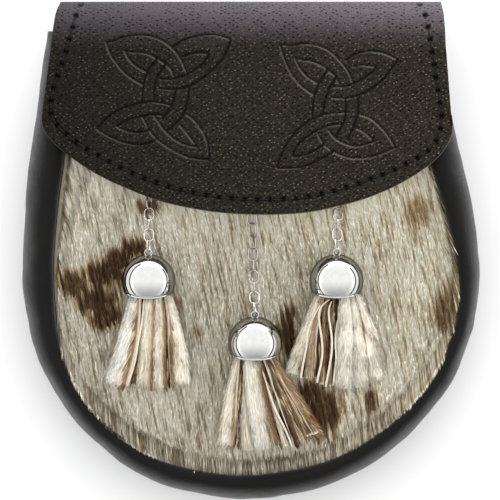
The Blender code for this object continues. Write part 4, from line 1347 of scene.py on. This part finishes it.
    mesh = new_mesh("flap_leather", verts, [outer_faces, inner_faces, np.array(tris)])
    relief = np.zeros((len(verts), 4))
    relief[:base, 0] = groove_shade
    relief[:base, 1] = hole_shade
    relief[:base, 2] = edge_tone
    rim_inner = np.zeros((len(pick_rows), nc), bool)
    rim_inner[0] = rim_inner[-1] = True
    rim_inner[:, 0] = rim_inner[:, -1] = True
    inner_low = smoothstep((60.0 - inner[:, 1]) / 12.0)
    relief[base:, 2] = rim_inner.ravel() * (0.25 + 0.55 * inner_low)
    # painted highlight: paler over the top of the fold as its sheen, fading down the back of the fold
    relief[:base, 3] = np.clip((flat[:, 1] - 81.0) / 18.5, 0.0, 1.0) ** 1.6 * (
        0.12 + 0.88 * smoothstep((flat[:, 2] - 11.0) / 12.0))
    point_colours(mesh, "relief", relief)
    lay = np.zeros((len(verts), 4))
    lay[:base, 0] = flat[:, 0] * MM
    lay[:base, 1] = run.ravel() * MM
    lay[:base, 2] = lit
    lay[base:, 0] = inner[:, 0] * MM
    lay[base:, 1] = run[np.ix_(pick_rows, pick_cols)].ravel() * MM
    # place across the flap from left to right, for the painted shade on its left side
    lay[:, 3] = np.clip(0.5 + verts[:, 0] / 170.0, 0.0, 1.0)
    point_colours(mesh, "lay", lay)
    obj = add_piece("flap_leather", mesh, mat, "flap_leather", "flap")
    obj.data.shade_smooth()
    obj.data.set_sharp_from_angle(angle=math.radians(62))

    places = np.column_stack([holes, flap_top_z(holes[:, 0], holes[:, 1]) - 0.10])
    fold = holes[:, 1] > FOLD_Y
    places[fold, 2] = FOLD_Z + np.sqrt(np.maximum(
        FOLD_R ** 2 - (holes[fold, 1] - FOLD_Y) ** 2, 0.0)) - 0.10
    thread_run = []
    for a, b in zip(places, places[1:]):
        thread_run.append((a, b))
    build_thread("flap_stitches", thread_run, 0.30, thread, "flap_leather")
    return obj


def build_thread(name, runs, radius, mat, slot):
    """One short sewn length between each pair of holes, sunk at both ends."""
    verts, quads, caps = [], [], []
    rings, sides = 9, 8
    for start, end in runs:
        axis = end - start
        size = np.linalg.norm(axis)
        axis = axis / size
        side = np.cross(axis, (0.0, 0.0, 1.0))
        side /= np.linalg.norm(side)
        up = np.cross(side, axis)
        base = len(verts)
        for r in range(rings):
            t = r / (rings - 1)
            lift = -0.75 + 0.80 * math.sin(math.pi * t) ** 0.35
            centre = start + axis * size * (0.04 + 0.92 * t) + up * lift
            grow = radius * (0.75 + 0.25 * math.sin(math.pi * t))
            for s in range(sides):
                angle = 2 * math.pi * s / sides
                verts.append(centre + (side * math.cos(angle)
                                       + up * math.sin(angle)) * grow)
        for r in range(rings - 1):
            for s in range(sides):
                n = (s + 1) % sides
                quads.append((base + r * sides + s, base + r * sides + n,
                              base + (r + 1) * sides + n,
                              base + (r + 1) * sides + s))
        caps.append([base + s for s in reversed(range(sides))])
        caps.append([base + (rings - 1) * sides + s for s in range(sides)])
    mesh = new_mesh(name, np.array(verts), [np.array(quads), np.array(caps)])
    return add_piece(name, mesh, mat, slot)


# ------------------------------------------------------------ metal pieces
def cap_axis(tilt):
    a = math.radians(tilt)
    return Vector((0.0, math.cos(a), math.sin(a)))


def cap_matrix(x, y, z, tilt):
    axis = cap_axis(tilt)
    across = Vector((1.0, 0.0, 0.0))
    third = axis.cross(across)
    rot = Matrix((across, third, axis)).transposed()
    return Matrix.Translation(Vector((x, y, z)) * MM) @ rot.to_4x4()


def lathe(profile, sides):
    """Turned shape about local Z from (radius, height) points; a radius of
    zero at either end closes on the axis."""
    verts, rows = [], []
    for r, h in profile:
        if r < 1e-6:
            rows.append([len(verts)])
            verts.append((0.0, 0.0, h))
        else:
            rows.append(list(range(len(verts), len(verts) + sides)))
            for s in range(sides):
                a = 2 * math.pi * s / sides
                verts.append((r * math.cos(a), r * math.sin(a), h))
    quads, tris = [], []
    for a, b in zip(rows, rows[1:]):
        for s in range(sides):
            n = (s + 1) % sides
            if len(a) == 1:
                tris.append((a[0], b[s], b[n]))
            elif len(b) == 1:
                tris.append((a[s], b[0], a[n]))
            else:
                quads.append((a[s], b[s], b[n], a[n]))
    return verts, quads, tris


def torus(radius, wire, turns, sides, centre, plane="XZ"):
    verts, quads = [], []
    for i in range(turns):
        a = 2 * math.pi * i / turns
        for s in range(sides):
            b = 2 * math.pi * s / sides
            r = radius + wire * math.cos(b)
            verts.append((centre[0] + r * math.cos(a), wire * math.sin(b),
                          centre[2] + r * math.sin(a)))
    for i in range(turns):
        for s in range(sides):
            j, n = (i + 1) % turns, (s + 1) % sides
            quads.append((i * sides + s, j * sides + s, j * sides + n, i * sides + n))
    return verts, quads


def build_caps(mat):
    end = math.acos(-CAP_CUT / CAP_R)
    profile = [(CAP_R * math.sin(end * k / 34), CAP_R * math.cos(end * k / 34))
               for k in range(34)]
    # small rolled bead at the mouth
    mouth_r = CAP_R * math.sin(end)
    mouth_h = CAP_R * math.cos(end)
    bead = 0.40
    for k in range(11):
        a = math.radians(115.0 - 250.0 * k / 10)
        profile.append((mouth_r - 0.30 + bead * math.cos(a) * 0.85,
                        mouth_h - 0.02 + bead * math.sin(a)))
    inner_r = CAP_R - CAP_WALL
    for k in range(24, -1, -1):
        a = end * 0.985 * k / 24
        profile.append((inner_r * math.sin(a), inner_r * math.cos(a)))
    profile[0] = (0.0, CAP_R)
    profile[-1] = (0.0, inner_r)
    verts, quads, tris = lathe(profile, 96)
    ring, ring_quads = torus(EYE_R, 0.5 * WIRE, 32, 14, (0.0, 0.0, CAP_R + EYE_UP))
    base = len(verts)
    verts += ring
    quads += [tuple(base + i for i in q) for q in ring_quads]
    for name, x, y, tilt, _ in CAPS:
        mesh = new_mesh("cap_%s_metal" % name, np.array(verts),
                        [np.array(quads), np.array(tris)])
        mesh.transform(Matrix.Identity(4))
        place = cap_matrix(x, y, BALL_Z[name], tilt)
        mesh.transform(place)
        mesh.update()
        add_piece("cap_%s_metal" % name, mesh, mat, "cap_chrome", "cap_" + name)


def link_shape(turns_half, sides):
    half = 0.5 * (LINK_LENGTH - WIRE)
    radius = 0.5 * (LINK_WIDTH - WIRE)
    centres = []
    for start, sign in ((0.0, 1.0), (180.0, -1.0)):
        for k in range(turns_half + 1):
            a = math.radians(start + 180.0 * k / turns_half)
            centres.append((radius * math.cos(a),
                            sign * (half - radius) + radius * math.sin(a), 0.0))
    centres = np.array(centres)
    ahead = np.roll(centres, -1, axis=0) - np.roll(centres, 1, axis=0)
    ahead /= np.linalg.norm(ahead, axis=1)[:, None]
    outward = np.cross(ahead, (0.0, 0.0, 1.0))
    verts = []
    for c, o in zip(centres, outward):
        for s in range(sides):
            a = 2 * math.pi * s / sides
            verts.append(c + 0.5 * WIRE * (o * math.cos(a)
                                           + np.array((0, 0, 1.0)) * math.sin(a)))
    n = len(centres)
    quads = []
    for i in range(n):
        for s in range(sides):
            j, k = (i + 1) % n, (s + 1) % sides
            quads.append((i * sides + s, j * sides + s, j * sides + k, i * sides + k))
    return np.array(verts), np.array(quads)


def chain_route(name, start_z, climb, power, count):
    """Places along a chain from its cap up to the flap: point, direction."""
    for cap_name, x, y, tilt, chain_x in CAPS:
        if cap_name == name:
            break
    axis = cap_axis(tilt)
    ring = Vector((x, y, BALL_Z[name])) + axis * (CAP_R + EYE_UP + EYE_R)
    reach = WIRE + GAP
    slope = (ring.z - start_z) * power / climb
    first = Vector((0.0, 1.0, -slope)).normalized()
    hook = ring - first * reach
    rise = hook.z - start_z

    def point_at(run):
        height = start_z
        if run < climb:
            height += rise * (1.0 - run / climb) ** power
        sway = min(run / 42.0, 1.0)
        return Vector((hook.x + (chain_x - hook.x) * sway, hook.y + run, height))

    step = 0.02
    places = []
    end_reach = 0.5 * (LINK_LENGTH - WIRE)
    for i in range(count):
        ends = []
        for target in (i * LINK_PITCH, i * LINK_PITCH + 2 * end_reach):
            probe_run, probe_len, probe = 0.0, 0.0, point_at(0.0)
            while probe_len < target:
                probe_run += step
                nxt = point_at(probe_run)
                probe_len += (nxt - probe).length
                probe = nxt
            ends.append(probe)
        direction = (ends[1] - ends[0]).normalized()
        places.append((0.5 * (ends[0] + ends[1]), direction))
    return places


def build_chains(mat):
    verts, quads = link_shape(12, 12)
    for name, count, start_z, climb, power, rolls in CHAINS:
        places = chain_route(name, start_z, climb, power, count)
        for i, ((middle, direction), roll) in enumerate(zip(places, rolls)):
            up = Vector((0.0, 0.0, 1.0))
            across = direction.cross(up).normalized()
            normal = across.cross(direction)
            base = Matrix((across, direction, normal)).transposed()
            turn = Matrix.Rotation(math.radians(roll), 3, "Y")
            place = Matrix.Translation(middle * MM) @ (base @ turn).to_4x4()
            label = "chain_%s_link_%02d" % (name, i + 1)
            mesh = new_mesh(label + "_wire", verts, [quads])
            mesh.transform(place)
            mesh.update()
            add_piece(label + "_wire", mesh, mat, "chain_metal", label)


# ------------------------------------------------------------- belt loops
def build_belt_loops(mat, thread):
    tab = BACK_Z - GAP - LEATHER
    inner_top = LOOP_TOP_Y - LOOP_TAB
    side = [(LOOP_TOP_Y, tab), (inner_top + 1.0, tab), (inner_top - 0.4, tab - 0.6),
            (inner_top - 3.0 + 0.6, 0.7), (inner_top - 3.0 - 1.2, 0.0)]
    other = [(LOOP_LOW_Y + LOOP_TOP_Y - y, z) for y, z in reversed(side)]
    profile = np.array(catmull(side, 5)[:-1] + catmull([side[-1], other[0]], 12)[:-1]
                       + catmull(other, 5))
    profile[:, 1] = np.maximum(profile[:, 1], 0.0)
    half = 0.5 * LOOP_WIDTH
    for label, x in (("left", -LOOP_X), ("right", LOOP_X)):
        xs = np.linspace(-half, half, 15)
        rows = []
        for y, z in profile:
            rows.append(np.column_stack([x + xs, np.full(15, y), np.full(15, z)]))
        verts = np.concatenate(rows)
        mesh = new_mesh("belt_loop_%s_leather" % label, verts,
                        [grid_faces(len(profile), 15)[:, ::-1]])
        obj = add_piece("belt_loop_%s_leather" % label, mesh, mat,
                        "loop_leather", "belt_loop_" + label)
        mod = obj.modifiers.new("Solidify", "SOLIDIFY")
        mod.thickness = LEATHER * MM
        mod.offset = 1.0
        mod.use_even_offset = True
        bev = obj.modifiers.new("Bevel", "BEVEL")
        bev.width = 0.35 * MM
        bev.segments = 2
        bev.limit_method = "ANGLE"
        bev.angle_limit = math.radians(60)
        apply_modifiers(obj)
        obj.data.shade_smooth()
        obj.data.set_sharp_from_angle(angle=math.radians(50))
        for end, (y_from, y_to) in (("top", (LOOP_TOP_Y - 1.6, inner_top + 2.0)),
                                    ("low", (LOOP_LOW_Y + 1.6,
                                             LOOP_LOW_Y + LOOP_TAB - 2.0))):
            box = np.array([(x - half + 1.8, y_from), (x + half - 1.8, y_from),
                            (x + half - 1.8, y_to), (x - half + 1.8, y_to),
                            (x - half + 1.8, y_from)])
            box = resample(box, 120)
            places = np.column_stack([box, np.full(len(box), tab - 0.10)])
            stitches("belt_loop_%s_stitch_%s" % (label, end), places, 3.1, 0.30,
                     0.70, thread, "loop_leather", flip=True)


def build_snap(mat):
    low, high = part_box("flap_snap")
    low, high = Vector(low) / MM, Vector(high) / MM
    x, y = 0.5 * (low.x + high.x), 0.5 * (low.y + high.y)
    r = 0.5 * (high.x - low.x)
    h = high.z - low.z
    profile = [(0.0, h), (0.86 * r, h), (0.97 * r, h - 0.25), (r, h - 0.7),
               (0.97 * r, h - 1.2), (0.62 * r, h - 1.5), (0.60 * r, 1.4),
               (0.97 * r, 1.1), (r, 0.7), (0.97 * r, 0.25), (0.86 * r, 0.0),
               (0.0, 0.0)]
    verts, quads, tris = lathe(profile, 48)
    verts = [(vx + x, vy + y, vz + low.z) for vx, vy, vz in verts]
    mesh = new_mesh("flap_snap_stud", np.array(verts), [np.array(quads), np.array(tris)])
    obj = add_piece("flap_snap_stud", mesh, mat, "snap_metal", "flap_snap")
    obj.data.set_sharp_from_angle(angle=math.radians(40))


# --------------------------------------------------------------- tassels
TASSEL_MM = 0.4101


def tassel_point(across, down):
    return ((across - 251.0) * TASSEL_MM, (250.5 - down) * TASSEL_MM)


def tassel_form(name, y):
    """Left, right, lowest and highest of the bundle at height y."""
    rows = np.array(TASSELS[name])
    ys = -rows[:, 3]
    return [np.interp(-y, ys, rows[:, c]) for c in (1, 2, 4, 5)]


def strip_surface(name, x, y, over):
    left, right, z_low, z_high = tassel_form(name, y)
    s = np.clip((x - 0.5 * (left + right)) / (0.5 * (right - left)), -1.0, 1.0)
    dome = np.sqrt(np.maximum(1.0 - (0.93 * s) ** 2, 0.0))
    return z_low + 0.9 + (z_high - z_low - 1.9) * dome + over


def build_tassel(name, strips_mat, hair_mat, seed):
    rng = np.random.default_rng(seed)
    verts, quads, caps, values, laid = [], [], [], [], []
    hair = {k: [] for k in ("roots", "mids", "tips", "widths", "ups", "values")}
    # core of the bundle, painted near-black brown as the shade seen in the gaps between the strips
    form = np.array(catmull(TASSELS[name], 4))
    sides = 24
    loops = []
    for share, x_left, x_right, y, z_low, z_high in form:
        cx, cz = 0.5 * (x_left + x_right), 0.5 * (z_low + z_high) - 0.5
        hx, hz = 0.5 * (x_right - x_left) * 0.80, 0.5 * (z_high - z_low) * 0.70
        loops.append([(cx + hx * math.cos(2 * math.pi * k / sides), y + 4.5 * share,
                       cz + hz * math.sin(2 * math.pi * k / sides))
                      for k in range(sides)])
    for loop in loops:
        verts += loop
    quads += [tuple(q) for q in grid_faces(len(loops), sides, closed=True)]
    values += [(0.4, 0.86, 0.0, 1.0)] * len(verts)
    laid += [(v[0] * MM, v[1] * MM, 0.9, 1.0) for v in verts]
    tri_caps = []
    for k in range(1, sides - 1):
        tri_caps.append((0, k, k + 1))
        b = (len(loops) - 1) * sides
        tri_caps.append((b, b + k + 1, b + k))

    for places, tones, over, roll, splay, hair_len in STRIPS[name]:
        if not isinstance(tones, tuple):
            tones = (tones, tones, 0.0)
        tone = tones[0]
        pts = np.array([(*tassel_point(a, d), w * TASSEL_MM) for a, d, w in places])
        pts = np.array(catmull([tuple(p) for p in pts], 7))
        n = len(pts)
        t = np.linspace(0.0, 1.0, n)
        xy = pts[:, :2]
        ahead = np.gradient(xy, axis=0)
        ahead /= np.linalg.norm(ahead, axis=1)[:, None]
        right = np.stack([-ahead[:, 1], ahead[:, 0]], 1)
        right *= np.where(right[:, :1] < 0, -1.0, 1.0)
        z = strip_surface(name, xy[:, 0], xy[:, 1], over)
        # the strip's own roll, and the fall of the form to the side
        d = 0.8
        slope = (strip_surface(name, xy[:, 0] + d, xy[:, 1], over)
                 - strip_surface(name, xy[:, 0] - d, xy[:, 1], over)) / (2 * d)
        tilt = np.clip(slope, -1.3, 1.3) + math.tan(math.radians(
            max(min(roll, 70), -70))) * np.interp(t, [0, 0.25, 1.0], [0.2, 0.8, 1.0])
        thick = 1.25
        section = []
        half_w = 0.5 * pts[:, 2]
        if tone < 0:
            # a strip seen on its edge: thin across, deep
            across3 = np.column_stack([right, np.zeros(n)])
            depth3 = np.tile(np.array([0.0, 0.0, 1.0]), (n, 1))
            wide, deep = half_w * 0.95, 2.0
            wob = np.sin(t * 9.0 + seed) * 0.25
            centre = np.column_stack([xy + right * wob[:, None], z - 1.0])
        else:
            run = np.sqrt(1.0 + tilt ** 2)
            across3 = np.column_stack([right / run[:, None], tilt / run])
            ahead3 = np.column_stack([ahead, np.gradient(z) / np.maximum(
                np.linalg.norm(np.gradient(xy, axis=0), axis=1), 1e-6)])
            depth3 = np.cross(across3, ahead3)
            depth3 /= np.linalg.norm(depth3, axis=1)[:, None]
            depth3 *= np.where(depth3[:, 2:] < 0, -1.0, 1.0)
            wide, deep = half_w, 0.5 * thick
            centre = np.column_stack([xy, z])
        # rounded box section, eight points
        shape = [(-1.0, 0.45), (-0.82, 1.0), (0.0, 1.12), (0.82, 1.0), (1.0, 0.45),
                 (1.0, -1.0), (0.0, -0.9), (-1.0, -1.0)]
        base = len(verts)
        chance = float(rng.uniform(0.05, 0.85))
        gone = np.concatenate([[0.0], np.cumsum(np.linalg.norm(
            np.diff(xy, axis=0), axis=1))])
        for i in range(n):
            wid = wide[i]
            for a, b in shape:
                laid.append((a * wid * MM, gone[i] * MM, chance, 1.0))
                verts.append(tuple(centre[i] + across3[i] * (a * wid)
                                   + depth3[i] * (b * deep)))
                rim = 1.0 if (abs(a) > 0.9 or i == n - 1) else 0.0
                if tone < 0:
                    values.append((0.6, 0.1, 1.0, 1.0))
                else:
                    shade = tones[0] + (tones[1] - tones[0]) * float(
                        smoothstep((a - tones[2]) / 0.5 + 0.5))
                    values.append((0.5, shade / 4.0, rim * 0.9, 1.0))
        m = len(shape)
        # the first of the rows is at the cap
        quads += [tuple(base + q) for q in grid_faces(n, m, closed=True)]
        caps.append([base + k for k in range(m)])
        caps.append([base + (n - 1) * m + k for k in reversed(range(m))])
        if tone < 0 or hair_len <= 0:
            continue
        area = float((pts[:-1, 2] * np.linalg.norm(np.diff(xy, axis=0), axis=1)).sum())
        count = int(area * 4.0)
        u = rng.uniform(0.0, 0.97, count) ** 0.92
        v = rng.uniform(-0.96, 0.96, count)
        at_side = rng.random(count) < 0.72
        v = np.where(at_side, np.sign(v) * rng.uniform(0.80, 0.99, count), v)
        i = u * (n - 1)
        lo = np.clip(i.astype(int), 0, n - 2)
        f = (i - lo)[:, None]

        def at(values_):
            return values_[lo] * (1 - f) + values_[lo + 1] * f

        c3, a3, d3 = at(centre), at(across3), at(depth3)
        w = at(wide[:, None])[:, 0]
        crown = np.interp(np.abs(v), [0.0, 0.82, 1.0], [1.12, 1.0, 0.45])
        root = c3 + a3 * (v * w)[:, None] + d3 * (deep * crown + 0.02)[:, None]
        fwd = at(np.column_stack([ahead, np.gradient(z) / np.maximum(
            np.linalg.norm(np.gradient(xy, axis=0), axis=1), 1e-6)]))
        fwd /= np.linalg.norm(fwd, axis=1)[:, None]
        out = splay + 0.10 * v + rng.normal(0, 0.030, count) \
            + at_side * np.sign(v) * rng.uniform(0.0, 0.10, count) \
            + 0.09 * (value_noise(v * 4.0 + seed, u * 9.0, 17) - 0.5)
        way = fwd + a3 * out[:, None]
        way /= np.linalg.norm(way, axis=1)[:, None]
        length = hair_len * rng.uniform(0.55, 1.0, count)
        left_run = (1.0 - u) * path_length(pts) + rng.uniform(0.6, 2.8, count)
        length = np.minimum(length, left_run)
        tip = root + way * length[:, None] + d3 * rng.uniform(0.01, 0.05, count)[:, None]
        tip = tip - d3 * (at_side * rng.uniform(0.0, 0.5, count))[:, None]
        mid = 0.34 * root + 0.66 * tip + d3 * rng.uniform(0.02, 0.04, count)[:, None]
        hair["roots"].append(root)
        hair["mids"].append(mid)
        hair["tips"].append(tip)
        hair["widths"].append(rng.uniform(0.20, 0.30, count))
        hair["ups"].append(d3)
        # the sides of each strip are painted darker and browner: partly browner hair there, partly painted shade
        # between the strips
        side_shade_and_brown = np.clip((np.abs(v) - 0.72) / 0.28, 0.0, 1.0)
        blend = tones[0] + (tones[1] - tones[0]) * smoothstep(
            (v - tones[2]) / 0.5 + 0.5 + 0.5 * (rng.random(count) - 0.5))
        tone_v = blend / 4.0 + 0.10 * (rng.random(count) - 0.5) * min(tone, 1.0) \
            + 0.05 * side_shade_and_brown \
            + 0.10 * (value_noise(v * 3.0 + seed * 3.7, u * 3.0, 19) - 0.5) * min(tone, 1.0)
        if tone > 2.4 and tone < 3.0:
            # streaks of pale hair through the brown
            pale = value_noise(v * 4.5 + 3.0, u * 2.0, 29) > 0.62
            tone_v = np.where(pale, tone_v * 0.55, tone_v)
        # fine lines of lighter and darker hair along the strip
        mid_v = v * w + 0.62 * (way * a3).sum(1) * length
        mid_u = u * path_length(pts) + 0.62 * length
        line = value_noise(mid_v / 0.42 + 50.0, mid_u / 8.0, 37 + seed)
        soft = value_noise(mid_v / 1.6 + 50.0, mid_u / 14.0, 57 + seed)
        tint_v = np.clip(0.60 + 0.30 * (rng.random(count) - 0.5)
                         + 1.05 * (line - 0.5) + 0.30 * (soft - 0.5)
                         - 0.22 * side_shade_and_brown, 0.0, 1.0)
        hair["values"].append(np.stack([tint_v,
                                        np.clip(tone_v, 0.0, 1.0),
                                        np.zeros(count), np.ones(count)], 1))
    mesh = new_mesh("tassel_%s_strips" % name, np.array(verts),
                    [np.array(quads), np.array(tri_caps), np.array(caps)])
    point_colours(mesh, "strand", np.array(values))
    point_colours(mesh, "lay", np.array(laid))
    obj = add_piece("tassel_%s_strips" % name, mesh, strips_mat, "tassel_hide",
                    "tassel_" + name)
    obj.data.set_sharp_from_angle(angle=math.radians(50))
    data = {k: np.concatenate(v) for k, v in hair.items()}
    mesh = hair_mesh("tassel_%s_hair" % name, data["roots"], data["mids"],
                     data["tips"], data["widths"], data["ups"], data["values"])
    add_piece("tassel_%s_hair" % name, mesh, hair_mat, "tassel_hide")


# ------------------------------------------------------------------ studio
def build_studio():
    floor_mesh = new_mesh("floor", [(-4000, -4000, -0.4), (4000, -4000, -0.4),
                                    (4000, 4000, -0.4), (-4000, 4000, -0.4)],
                          [np.array([(0, 1, 2, 3)])], smooth=False)
    floor = bpy.data.objects.new("floor", floor_mesh)
    n = Nodes("floor_paper")
    base = n.mix(n.noise(n.coords(), 120.0, 2.0), (0.90, 0.90, 0.90),
                 (0.93, 0.93, 0.93))
    floor_mesh.materials.append(n.finish(base, 0.9, None, Specular_IOR_Level=0.1))
    scene.collection.objects.link(floor)

    world = bpy.data.worlds.new("studio")
    scene.world = world
    world.use_nodes = True
    tree = world.node_tree
    tree.nodes.clear()
    out = tree.nodes.new("ShaderNodeOutputWorld")
    back = tree.nodes.new("ShaderNodeBackground")
    coord = tree.nodes.new("ShaderNodeTexCoord")
    split = tree.nodes.new("ShaderNodeSeparateXYZ")
    side = tree.nodes.new("ShaderNodeValToRGB")
    side.color_ramp.elements[0].position = 0.0
    side.color_ramp.elements[0].color = (0.30, 0.30, 0.30, 1.0)
    side.color_ramp.elements[1].position = 1.0
    side.color_ramp.elements[1].color = (1.0, 1.0, 1.0, 1.0)
    middle = side.color_ramp.elements.new(0.36)
    middle.color = (0.86, 0.86, 0.86, 1.0)
    middle = side.color_ramp.elements.new(0.5)
    middle.color = (1.0, 1.0, 1.0, 1.0)
    shift = tree.nodes.new("ShaderNodeMath")
    shift.operation = "MULTIPLY_ADD"
    shift.inputs[1].default_value = 0.5
    shift.inputs[2].default_value = 0.5
    rise = tree.nodes.new("ShaderNodeValToRGB")
    rise.color_ramp.elements[0].position = 0.0
    rise.color_ramp.elements[0].color = (0.04, 0.04, 0.04, 1.0)
    rise.color_ramp.elements[1].position = 1.0
    rise.color_ramp.elements[1].color = (0.64, 0.64, 0.64, 1.0)
    for height, level in ((0.10, 0.05), (0.13, 1.0), (0.42, 0.64)):
        step = rise.color_ramp.elements.new(height)
        step.color = (level, level, level, 1.0)
    both = tree.nodes.new("ShaderNodeMix")
    both.data_type = "RGBA"
    both.blend_type = "MULTIPLY"
    both.inputs["Factor"].default_value = 1.0
    tree.links.new(coord.outputs["Generated"], split.inputs["Vector"])
    tree.links.new(split.outputs["Y"], shift.inputs[0])
    tree.links.new(shift.outputs["Value"], side.inputs["Fac"])
    tree.links.new(split.outputs["Z"], rise.inputs["Fac"])
    tree.links.new(side.outputs["Color"], both.inputs[6])
    tree.links.new(rise.outputs["Color"], both.inputs[7])
    tree.links.new(both.outputs[2], back.inputs["Color"])
    back.inputs["Strength"].default_value = 2.40
    tree.links.new(back.outputs["Background"], out.inputs["Surface"])

    def area(name, place, target, size, size_y, power, colour=(1.0, 1.0, 1.0)):
        light = bpy.data.lights.new(name, "AREA")
        light.shape = "RECTANGLE"
        light.size, light.size_y = size, size_y
        light.energy = power
        light.color = colour
        obj = bpy.data.objects.new(name, light)
        obj.location = place
        way = Vector(target) - Vector(place)
        obj.rotation_mode = "QUATERNION"
        obj.rotation_quaternion = way.to_track_quat("-Z", "Y")
        scene.collection.objects.link(obj)

    area("key_from_top", (0.25, 1.35, 0.26), (0.0, 0.05, 0.03), 2.0, 0.42, 18.0,
         (1.0, 0.96, 1.0))

    cam = bpy.data.cameras.new("photo_camera")
    cam.sensor_width = 36.0
    cam.lens = 36.0 * 1480.0 / 208.33
    cam.clip_start, cam.clip_end = 0.05, 20.0
    obj = bpy.data.objects.new("photo_camera", cam)
    obj.location = (-0.417 * MM, 0.208 * MM, 1.5)
    scene.collection.objects.link(obj)
    scene.camera = obj
    scene.view_settings.view_transform = "Standard"
    scene.view_settings.look = "None"


def main():
    gusset_mat = plain_leather("gusset_leather", (0.0028, 0.0025, 0.0023),
                               (0.0050, 0.0045, 0.0041), 0.85, 0.11, 0.36, 0.52,
                               bump_mm=0.17,
                               sheen=0.25)
    back_mat = plain_leather("back_leather", (0.016, 0.013, 0.011),
                             (0.026, 0.021, 0.017), 1.2, 0.32, 0.50, 0.62, 0.14)
    loop_mat = plain_leather("loop_leather", (0.014, 0.012, 0.010),
                             (0.022, 0.018, 0.015), 1.0, 0.34, 0.42, 0.55)
    thread = thread_material()
    chrome = metal("cap_chrome", (0.60, 0.605, 0.595), 0.015, 0.04)
    chrome.node_tree.nodes["Principled BSDF"].inputs[
        "Specular Tint"].default_value = (0.20, 0.20, 0.19, 1.0)
    chain = metal("chain_metal", (0.46, 0.425, 0.435), 0.14, 0.30, 0.3)
    snap = metal("snap_metal", (0.42, 0.40, 0.37), 0.28, 0.42, 0.4)

    build_gusset(gusset_mat)
    build_back_panel(back_mat, thread)
    build_front_skin(hide_material())
    build_fur(hair_material("front_hair"))
    build_flap(flap_leather(), thread)
    build_snap(snap)
    build_belt_loops(loop_mat, thread)
    build_caps(chrome)
    build_chains(chain)
    for name, _, _, _, _ in CAPS:
        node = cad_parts["chain_staple_" + name]
        node.data.materials.clear()
        node.data.materials.append(chain)
    strips = strip_material()
    hair = tassel_hair_material()
    for seed, name in enumerate(("left", "centre", "right")):
        build_tassel(name, strips, hair, 101 + seed)
    build_studio()


main()
